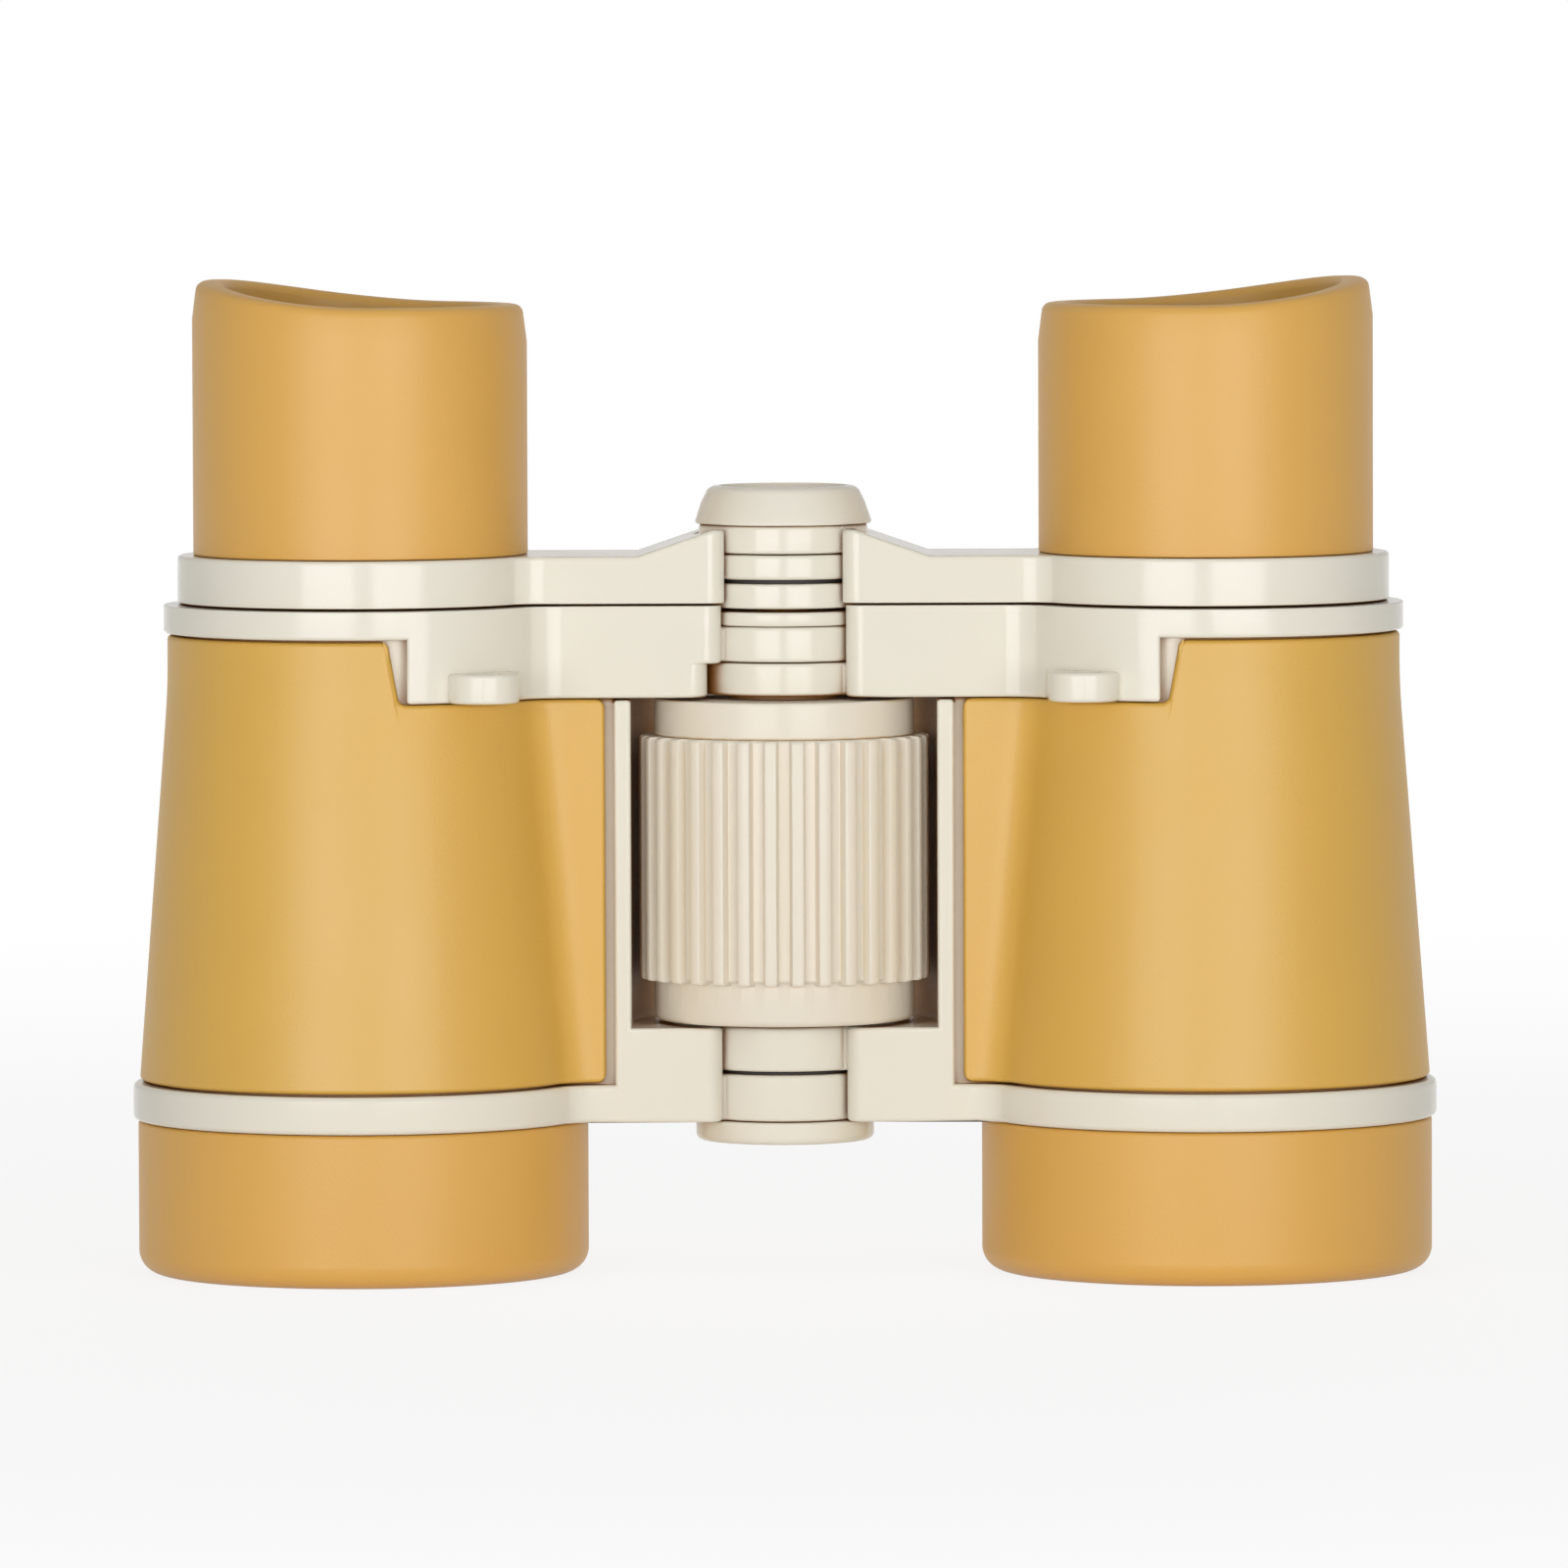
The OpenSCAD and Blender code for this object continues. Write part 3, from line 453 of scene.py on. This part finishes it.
class PlasticSettings(bpy.types.PropertyGroup):
    """Cream mouldings and the focus wheel"""

    cream: colour_setting("Cream", "Colour of the barrels, covers, arms and caps", 233, 228, 213)
    wheel: colour_setting("Wheel", "Colour of the focus wheel", 232, 224, 208)
    # The seam colour is painted shade: a warm, dark colour mixed into the cream where its seams and hollows
    # are occluded
    shade: colour_setting("Seams", "Warm colour deep in the seams of the cream plastic", 165, 108, 28)
    # The groove colour is painted shade, mixed into the wheel where its grooves are occluded
    tan: colour_setting("Grooves", "Warm colour in the grooves of the focus wheel", 218, 196, 166)
    gloss: share_setting("Roughness", "Roughness of the cream plastic", 0.14)
    wheel_gloss: share_setting("Wheel roughness", "Roughness of the focus wheel", 0.22)
    # How far, and from what open share, the painted shade reaches in the seams and in the grooves
    seam_shade_reach: length_setting("Seam reach", "How far a seam's walls are looked for", 5, 20)
    seam_shade_open: share_setting("Seam opening", "Open share of the view where no seam shows", 0.36)
    groove_shade_reach: length_setting("Groove reach", "How far a groove's walls are looked for", 1.6, 20)
    groove_shade_open: share_setting("Groove opening", "Open share of the view where no groove shows", 0.75)
    edge: length_setting("Edge", "Rounding of the moulded edges", 0.32, 2)


class RubberSettings(bpy.types.PropertyGroup):
    """Rubber armour and cups"""

    armour: colour_setting("Armour", "Colour of the two barrel jackets", 215, 168, 68)
    cups: colour_setting("Cups", "Colour of the eyecups and objective cups", 220, 169, 81)
    roughness: share_setting("Roughness", "Roughness of the rubber", 0.44)
    armour_shine: share_setting("Armour shine", "How strongly the jackets shine", 0.78)
    cup_shine: share_setting("Cup shine", "How strongly the cups shine", 0.58)
    grain_size: length_setting("Grain", "Width of the grain", 0.3, 2)
    grain_depth: length_setting("Grain depth", "Depth of the grain", 0.022, 1)
    edge: length_setting("Edge", "Rounding of the rubber's edges", 0.38, 2)
    corner: length_setting("Corner", "Rounding of the armour's corners, seen from the front", 0.8, 2)


class GripSettings(bpy.types.PropertyGroup):
    """Ribbed grip of the focus wheel"""

    ribs: IntProperty(name="Ribs", description="Number of ribs", default=33, min=12, max=60)
    steps: IntProperty(name="Steps", description="Columns of faces for each rib", default=24, min=8, max=32)
    depth: length_setting("Groove depth", "Depth of the grooves between ribs", 0.75, 2)
    scallop: length_setting("Scallop", "How far the grooves stop above the ribs' lower ends", 0.25, 1)
    collar: length_setting("Collar radius", "Radius of the collar below the ribs", 11.1, 20)
    collar_height: length_setting("Collar height", "Height of the collar below the ribs", 3.5, 10)
    bore: length_setting("Bore", "Radius of the bore that takes the hub", 10.4, 20)
    rounding: length_setting("Rounding", "Rounding of the rib ends", 0.3, 1)
    collar_rounding: length_setting("Collar rounding", "Rounding of the collar's lower edge", 0.6, 2)


class OpticsSettings(bpy.types.PropertyGroup):
    """Lenses"""

    tint: colour_setting("Tint", "Colour of the lens plastic", 226, 238, 244)
    refraction: FloatProperty(
        name="Refraction", description="Refractive index of the lens plastic", default=1.49, min=1, max=2
    )


class StageSettings(bpy.types.PropertyGroup):
    """Camera, light and floor"""

    lens: FloatProperty(
        name="Lens", description="Focal length", default=332 * MM, subtype="DISTANCE_CAMERA"
    )
    distance: length_setting("Distance", "From the camera to the hinge", 1233, 5000)
    aim: length_setting("Aim", "Height on the hinge that the camera looks at", 41.5, 200)
    pitch: FloatProperty(
        name="Pitch", description="How far the camera looks down",
        default=math.radians(3.36), subtype="ANGLE",
    )
    roll: FloatProperty(
        name="Roll", description="Turn of the camera about its line of sight",
        default=math.radians(-0.2), subtype="ANGLE",
    )
    ambient: share_setting("Ambient", "Strength of the light from all round", 0.28)
    floor: colour_setting("Floor", "Colour of the floor", 246, 246, 246)


class BinocularSettings(bpy.types.PropertyGroup):
    """All that can be set"""

    plastic: PointerProperty(type=PlasticSettings)
    rubber: PointerProperty(type=RubberSettings)
    grip: PointerProperty(type=GripSettings)
    optics: PointerProperty(type=OpticsSettings)
    stage: PointerProperty(type=StageSettings)


# Pieces


class Mouldings(bpy.types.Operator):
    """Rounds the edges of the cream barrels, top covers and eyepiece arms"""

    bl_idname = "binoculars.mouldings"
    bl_label = "Mouldings"
    # How far from the barrel's axis each kind is seen, and its rounding as a share of the edge setting
    kinds = {
        "barrel_body": (17.5 * MM, 1.5),
        "top_cover": (15.5 * MM, 1.0),
        "eyepiece_arm": (13 * MM, 1.0),
    }
    # Edges inside the knuckles stay sharp, and the others this near the hinge axis are all rounded
    knuckle_bore = 5 * MM
    hinge_reach = 15.5 * MM
    # Rounding beside the seam between a cover and its arm, as a share of the edge setting
    seam_share = 0.35
    same_height = 0.02 * MM

    def execute(self, context):
        plastic = context.scene.binoculars.plastic
        for side in SIDES:
            axis = barrel_x(side)
            for kind, (clear, share) in self.kinds.items():
                node = f"{side}_{kind}"
                low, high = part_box(node)
                seam = {"top_cover": high.z, "eyepiece_arm": low.z}.get(kind)
                piece = merged_copy(node, node + "_moulding")
                soften(piece, lambda edge, middle: self.width(
                    edge, middle, axis, clear, share, plastic.edge, seam
                ))
                dress(piece, node)
        return {"FINISHED"}

    def width(self, edge, middle, axis, clear, share, size, seam):
        """Rounds the convex edges that show, less beside the seam."""
        if not edge.is_convex or middle.xy.length < self.knuckle_bore:
            return 0
        if seam is not None and abs(middle.z - seam) < self.same_height:
            return size * self.seam_share
        if abs(middle.x) < self.hinge_reach:
            return size
        return size * share if math.hypot(middle.x - axis, middle.y) > clear else 0


class Armour(bpy.types.Operator):
    """Makes the two rubber jackets with their rounded edges"""

    bl_idname = "binoculars.armour"
    bl_label = "Armour"
    # Cosine from which a face counts as looking out of the jacket, or into it
    facing = 0.5

    def execute(self, context):
        rubber = context.scene.binoculars.rubber
        for side in SIDES:
            node = side + "_armour"
            axis = barrel_x(side)
            piece = merged_copy(node, side + "_jacket")
            soften(piece, lambda edge, middle: self.width(edge, middle, axis, rubber), segments=5)
            dress(piece, node, smooth=60)
        return {"FINISHED"}

    def width(self, edge, middle, axis, rubber):
        """Rounds the outer edges, the outline's corners more, and leaves the edges against the barrel."""
        spine = Vector((min(max(middle.x, min(axis, 0)), max(axis, 0)), 0, middle.z))
        outward = (middle - spine).normalized()
        if all(abs(face.normal.dot(outward)) < self.facing for face in edge.link_faces):
            return rubber.corner
        inside = any(face.normal.dot(outward) < -self.facing for face in edge.link_faces)
        return 0 if inside else rubber.edge


class Cups(bpy.types.Operator):
    """Makes the objective cups and the winged eyecups"""

    bl_idname = "binoculars.cups"
    bl_label = "Cups"
    # Rounding of an eyecup's foot, which sits close on its arm
    foot_edge = 0.12 * MM

    def execute(self, context):
        rubber = context.scene.binoculars.rubber
        for side in SIDES:
            for kind in ("objective_cup", "eyecup"):
                node = f"{side}_{kind}"
                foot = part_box(node)[0].z + rubber.edge if kind == "eyecup" else 0
                piece = merged_copy(node, f"{node}_rubber")
                soften(piece, lambda edge, middle: self.width(edge, middle, foot, rubber.edge))
                dress(piece, node, smooth=50)
        return {"FINISHED"}

    def width(self, edge, middle, foot, size):
        """Rounds the convex edges, less below the height foot."""
        if not edge.is_convex:
            return 0
        return self.foot_edge if middle.z < foot else size


class Grip(bpy.types.Operator):
    """Makes the ribbed grip with the collar below it"""

    bl_idname = "binoculars.grip"
    bl_label = "Ribbed grip"
    # Steepness of a rib's flanks, and how much its rounded top falls towards them
    flank = 1.5
    crown = 0.12
    # Steps of the roundings at the collar's foot and at the rib ends
    collar_steps = 4
    end_steps = 3
    # The ribbed band begins this far outside the collar, and a groove's depth is counted in this many levels
    band_gap = 0.1 * MM
    levels = 1000
    same_height = 0.01 * MM

    def execute(self, context):
        grip = context.scene.binoculars.grip
        low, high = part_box("wheel_grip")
        columns = grip.ribs * grip.steps
        ribs_z = low.z + grip.collar_height
        bpy.ops.object.select_all(action="DESELECT")
        bpy.ops.mesh.primitive_circle_add(vertices=columns, radius=grip.bore, location=(0, 0, low.z))
        piece = context.object
        piece.name = "ribbed_grip"
        bpy.ops.object.transform_apply(location=True, rotation=True, scale=True)
        edit(piece)
        bpy.ops.mesh.select_all(action="SELECT")
        self.radius, self.height = grip.bore, low.z
        for radius, height in self.profile(grip, high.y, low.z, ribs_z, high.z):
            self.step(radius, height)
        self.close(piece)
        self.sink_grooves(piece, grip, high.y, ribs_z)
        bpy.ops.mesh.select_all(action="SELECT")
        bpy.ops.mesh.normals_make_consistent(inside=False)
        leave_edit()
        dress(piece, "wheel_grip", smooth=45)
        return {"FINISHED"}

    def profile(self, grip, radius, bottom, ribs_z, top):
        """Radius and height of each loop, from the collar's foot to the top of the bore."""
        corner = grip.collar_rounding
        for turn in self.quarter(self.collar_steps):
            yield grip.collar - corner * (1 - math.sin(turn)), bottom + corner * (1 - math.cos(turn))
        yield grip.collar, ribs_z
        edge = grip.rounding
        for turn in self.quarter(self.end_steps):
            yield radius - edge * (1 - math.sin(turn)), ribs_z + edge * (1 - math.cos(turn))
        for turn in self.quarter(self.end_steps):
            yield radius - edge * (1 - math.cos(turn)), top - edge * (1 - math.sin(turn))
        yield grip.bore, top

    def quarter(self, steps):
        """Angles from 0 to a quarter turn, both ends included."""
        return [math.radians(90 * i / steps) for i in range(steps + 1)]

    def step(self, radius, height):
        """Extrudes the selected loop and moves the new one to a radius and a height."""
        bpy.ops.mesh.extrude_edges_move(TRANSFORM_OT_translate={"value": (0, 0, height - self.height)})
        share = radius / self.radius
        bpy.ops.transform.resize(value=(share, share, 1), center_override=(0, 0, height))
        self.radius, self.height = radius, height

    def close(self, piece):
        """Joins the last loop to the first one through the bore."""
        bpy.ops.mesh.select_all(action="DESELECT")
        mesh = bmesh.from_edit_mesh(piece.data)
        for edge in mesh.edges:
            if edge.is_boundary:
                edge.select = True
        mesh.select_flush_mode()
        bpy.ops.mesh.bridge_edge_loops()

    def sink_grooves(self, piece, grip, radius, ribs_z):
        """Draws each column of the ribbed band in, and its foot up, by its share of the groove's depth."""
        columns = {}
        mesh = bmesh.from_edit_mesh(piece.data)
        for vertex in mesh.verts:
            if vertex.co.xy.length < grip.collar + self.band_gap:
                continue
            # Counted in ribs from the middle of the front, where the bottom of a groove lies
            turn = (math.atan2(vertex.co.y, vertex.co.x) + math.pi / 2) / math.tau * grip.ribs
            level = round(self.levels * self.groove(turn + 0.5))
            columns.setdefault(level, []).append(vertex)
        for level, vertices in columns.items():
            if level == 0:
                continue
            bpy.ops.mesh.select_all(action="DESELECT")
            for vertex in vertices:
                vertex.select = True
            share = 1 - grip.depth * level / self.levels / radius
            bpy.ops.transform.resize(value=(share, share, 1), center_override=(0, 0, 0))
            for vertex in vertices:
                vertex.select = vertex.co.z < ribs_z + grip.rounding + self.same_height
            bpy.ops.transform.translate(value=(0, 0, grip.scallop * level / self.levels))

    def groove(self, turn):
        """Depth share at a turn counted in ribs: rounded tops and flat valleys of equal width."""
        wave = math.cos(math.tau * turn)
        rise = min(1.0, max(0.0, 0.5 + self.flank * wave))
        return 1 - rise * rise * (3 - 2 * rise) + self.crown * (1 - max(0.0, wave))


class HingeStack(bpy.types.Operator):
    """Rounds the caps, collars, bush and hub on the hinge axis"""

    bl_idname = "binoculars.hinge_stack"
    bl_label = "Hinge stack"
    nodes = ("bottom_cap", "upper_hinge_bush", "focus_wheel", "focus_screw", "top_cap")
    # Edges this near the axis are hidden and stay sharp, and the others take a share of the edge setting
    hidden_within = 6.5 * MM
    edge_share = 0.8
    # Rounding of the top cap's rim, the angle where it leaves the cap's side, and how far below the top
    # and from what radius on it moves the mesh
    rim = 1.0 * MM
    rim_start = 19
    rim_zone = 0.7 * MM
    rim_inside = 5.8 * MM

    def execute(self, context):
        plastic = context.scene.binoculars.plastic
        for node in self.nodes:
            piece = merged_copy(node, node + "_moulding")
            if node == "top_cap":
                self.round_rim(piece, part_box(node)[1].z)
            soften(piece, lambda edge, middle: self.width(edge, middle, plastic.edge))
            dress(piece, node)
        return {"FINISHED"}

    def width(self, edge, middle, size):
        return size * self.edge_share if edge.is_convex and middle.xy.length > self.hidden_within else 0

    def round_rim(self, piece, top):
        """Moves the rings of the cap's small rim rounding onto a larger one."""
        rings = {}
        for vertex in bmesh.from_edit_mesh(piece.data).verts:
            if vertex.co.z > top - self.rim_zone and vertex.co.xy.length > self.rim_inside:
                rings.setdefault(round(vertex.co.z / MM, 3), []).append(vertex)
        rings = [rings[height] for height in sorted(rings)]
        centre = rings[0][0].co.xy.length - self.rim
        for i, ring in enumerate(rings):
            turn = math.radians(self.rim_start + (90 - self.rim_start) * i / (len(rings) - 1))
            bpy.ops.mesh.select_all(action="DESELECT")
            for vertex in ring:
                vertex.select = True
            place = ring[0].co.copy()
            share = (centre + self.rim * math.cos(turn)) / place.xy.length
            lift = top - self.rim * (1 - math.sin(turn)) - place.z
            bpy.ops.transform.resize(value=(share, share, 1), center_override=(0, 0, place.z))
            bpy.ops.transform.translate(value=(0, 0, lift))


class TopScrew(bpy.types.Operator):
    """Cuts the cross recess of the screw that holds the top cap"""

    bl_idname = "binoculars.top_screw"
    bl_label = "Top screw"
    # Length, width and depth of the recess, its floor's size as a share of it, and the head's rounding
    across = 2.6 * MM
    blade = 0.62 * MM
    depth = 0.7 * MM
    taper = 0.55
    edge = 0.18 * MM

    def execute(self, context):
        node = "top_cap_screw"
        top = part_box(node)[1].z
        piece = merged_copy(node, "crossed_screw")
        soften(piece, lambda edge, middle: self.edge if middle.z > top - self.edge else 0, segments=3)
        for turn in (0, math.pi / 2):
            cut_slot(piece, Vector((0, 0, top)), self.across, self.blade, self.depth, turn, self.taper)
        dress(piece, node)
        return {"FINISHED"}


class Retainers(bpy.types.Operator):
    """Cuts the two spanner notches of each lens retainer"""

    bl_idname = "binoculars.retainers"
    bl_label = "Retainers"
    # Width and depth of a notch
    notch = 1.4 * MM
    depth = 0.6 * MM
    # Which face of each ring shows: 1 is the upper one and -1 the lower one
    faces = {"eyepiece_retainer": 1, "objective_retainer": -1}

    def execute(self, context):
        for side in SIDES:
            for kind, face in self.faces.items():
                node = f"{side}_{kind}"
                low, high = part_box(node)
                middle = (low + high) / 2
                middle.z = high.z if face > 0 else low.z
                across = 2 * (high.x - low.x)
                piece = merged_copy(node, node + "_notched")
                leave_edit()
                cut_slot(piece, middle, across, self.notch, self.depth * face)
                dress(piece, node)
        return {"FINISHED"}


class Fittings(bpy.types.Operator):
    """Gives the lenses, tubes, screws, pin, nut and washers their finish"""

    bl_idname = "binoculars.fittings"
    bl_label = "Fittings"

    def execute(self, context):
        for name, node in frame["nodes"].items():
            if node.hide_render:
                continue
            slot = slot_material(name)
            node.data.materials.clear()
            node.data.materials.append(finish_of(slot))
        return {"FINISHED"}


# Stage


def seen_by(finish, *kinds):
    """1 for rays of the kinds named, such as Camera, and 0 for all others."""
    seen = 0.0
    for kind in kinds:
        ray = finish.add("ShaderNodeLightPath", output=f"Is {kind} Ray")
        seen = finish.add("ShaderNodeMath", {"operation": "MAXIMUM"}, {0: ray, 1: seen})
    return seen


class Stage(bpy.types.Operator):
    """Adds the camera, the soft lights, the white surroundings and the floor"""

    bl_idname = "binoculars.stage"
    bl_label = "Stage"
    # Width of the camera's sensor in millimetres, and the nearest and farthest distance that it sees
    sensor_width = 36
    clip = (0.1, 20)
    # Name, azimuth from the front, elevation, distance, width, height and power of each softbox,
    # and whether glossy faces mirror it
    softboxes = (
        ("left_box", -21.5, 4, 0.62, 0.36, 0.18, 1.24, True),
        ("right_box", 21.5, 4, 0.62, 0.36, 0.18, 1.24, True),
        ("top_box", 0, 78, 0.9, 0.8, 0.6, 0.9, False),
        ("back_box", 180, 11, 0.9, 0.6, 0.3, 3.3, False),
    )
    floor_size = 4
    # How far from the middle the floor's own white begins to rise and is full, and its share up to there
    lift_reach = (0.1, 0.5)
    near_lift = 0.85
    # Sine of the elevation where the white surroundings begin to fade and where they are down to high_white
    fade = (0.0, 0.05)
    high_white = 0.75

    def execute(self, context):
        stage = context.scene.binoculars.stage
        self.add_camera(stage)
        for softbox in self.softboxes:
            self.add_softbox(Vector((0, 0, stage.aim)), *softbox)
        self.add_floor(stage)
        self.add_world(context, stage)
        context.scene.view_settings.view_transform = "Standard"
        return {"FINISHED"}

    def add_camera(self, stage):
        data = bpy.data.cameras.new("camera")
        data.sensor_width = self.sensor_width
        data.lens = stage.lens / MM
        camera = bpy.data.objects.new("camera", data)
        bpy.context.scene.collection.objects.link(camera)
        turn = Euler((math.pi / 2 - stage.pitch, 0, 0)).to_quaternion()
        back = turn @ Vector((0, 0, 1))
        camera.location = Vector((0, 0, stage.aim)) + back * stage.distance
        camera.rotation_mode = "QUATERNION"
        camera.rotation_quaternion = turn @ Euler((0, 0, stage.roll)).to_quaternion()
        data.clip_start, data.clip_end = self.clip
        bpy.context.scene.camera = camera

    def add_softbox(self, aim, name, azimuth, elevation, distance, width, height, power, mirrored):
        light = bpy.data.lights.new(name, "AREA")
        light.shape = "RECTANGLE"
        light.size, light.size_y = width, height
        light.energy = power
        turn = Euler((math.pi / 2 - math.radians(elevation), 0, math.radians(azimuth)))
        out = turn.to_matrix() @ Vector((0, 0, 1))
        lamp = bpy.data.objects.new(name, light)
        lamp.location = aim + out * distance
        lamp.rotation_euler = turn
        lamp.visible_camera = False
        lamp.visible_glossy = mirrored
        bpy.context.scene.collection.objects.link(lamp)

    def add_floor(self, stage):
        bpy.ops.object.select_all(action="DESELECT")
        bpy.ops.mesh.primitive_plane_add(size=self.floor_size, location=(0, 0, 0))
        floor = bpy.context.object
        floor.name = "floor"
        finish = Finish("floor")
        paint = finish.add("ShaderNodeBsdfDiffuse", None, {"Color": (*stage.floor, 1)})
        near, far = self.lift_reach
        reach = finish.add("ShaderNodeVectorMath", {"operation": "LENGTH"}, {0: finish.place()}, "Value")
        white_share = finish.ramp(reach, near, far, self.near_lift, 1.0)
        white = finish.add("ShaderNodeEmission", None, {"Color": (1, 1, 1, 1), "Strength": 1.0})
        seen = seen_by(finish, "Camera", "Glossy", "Transmission")
        shader = finish.add("ShaderNodeMixShader", None, {0: seen * white_share, 1: paint, 2: white})
        finish.add("ShaderNodeOutputMaterial", None, {"Surface": shader})
        floor.data.materials.append(finish.material)

    def add_world(self, context, stage):
        world = bpy.data.worlds.new("studio")
        world.use_nodes = True
        context.scene.world = world
        finish = Finish("studio", world.node_tree)
        ambient = finish.add(
            "ShaderNodeBackground", None, {"Color": (1, 1, 1, 1), "Strength": stage.ambient}
        )
        around = finish.add("ShaderNodeTexCoord", output="Generated")
        height = finish.add("ShaderNodeSeparateXYZ", None, {0: around}, 2)
        low, high = self.fade
        strength = finish.ramp(height, low, high, 1.0, self.high_white)
        white = finish.add("ShaderNodeBackground", None, {"Color": (1, 1, 1, 1), "Strength": strength})
        seen = seen_by(finish, "Camera", "Glossy", "Transmission")
        shader = finish.add("ShaderNodeMixShader", None, {0: seen, 1: ambient, 2: white})
        finish.add("ShaderNodeOutputWorld", None, {"Surface": shader})


class BinocularsPanel(bpy.types.Panel):
    """Lists the operators and settings"""

    bl_idname = "VIEW3D_PT_binoculars"
    bl_label = "Toy Binoculars"
    bl_space_type = "VIEW_3D"
    bl_region_type = "UI"
    bl_category = "Binoculars"

    def draw(self, context):
        settings = context.scene.binoculars
        for operator in OPERATORS:
            self.layout.operator(operator.bl_idname)
        for name, group in (
            ("Plastic", settings.plastic), ("Rubber", settings.rubber), ("Grip", settings.grip),
            ("Optics", settings.optics), ("Stage", settings.stage),
        ):
            box = self.layout.box()
            box.label(text=name)
            for key in group.__annotations__:
                box.prop(group, key)


OPERATORS = (Mouldings, Armour, Cups, Grip, HingeStack, TopScrew, Retainers, Fittings, Stage)
CLASSES = (
    PlasticSettings, RubberSettings, GripSettings, OpticsSettings, StageSettings, BinocularSettings,
    *OPERATORS, BinocularsPanel,
)


def register():
    for cls in CLASSES:
        bpy.utils.register_class(cls)
    bpy.types.Scene.binoculars = PointerProperty(type=BinocularSettings)


def unregister():
    del bpy.types.Scene.binoculars
    for cls in reversed(CLASSES):
        bpy.utils.unregister_class(cls)


def main():
    register()
    bpy.ops.binoculars.mouldings()
    bpy.ops.binoculars.armour()
    bpy.ops.binoculars.cups()
    bpy.ops.binoculars.grip()
    bpy.ops.binoculars.hinge_stack()
    bpy.ops.binoculars.top_screw()
    bpy.ops.binoculars.retainers()
    bpy.ops.binoculars.fittings()
    bpy.ops.binoculars.stage()


if __name__ == "__main__":
    main()
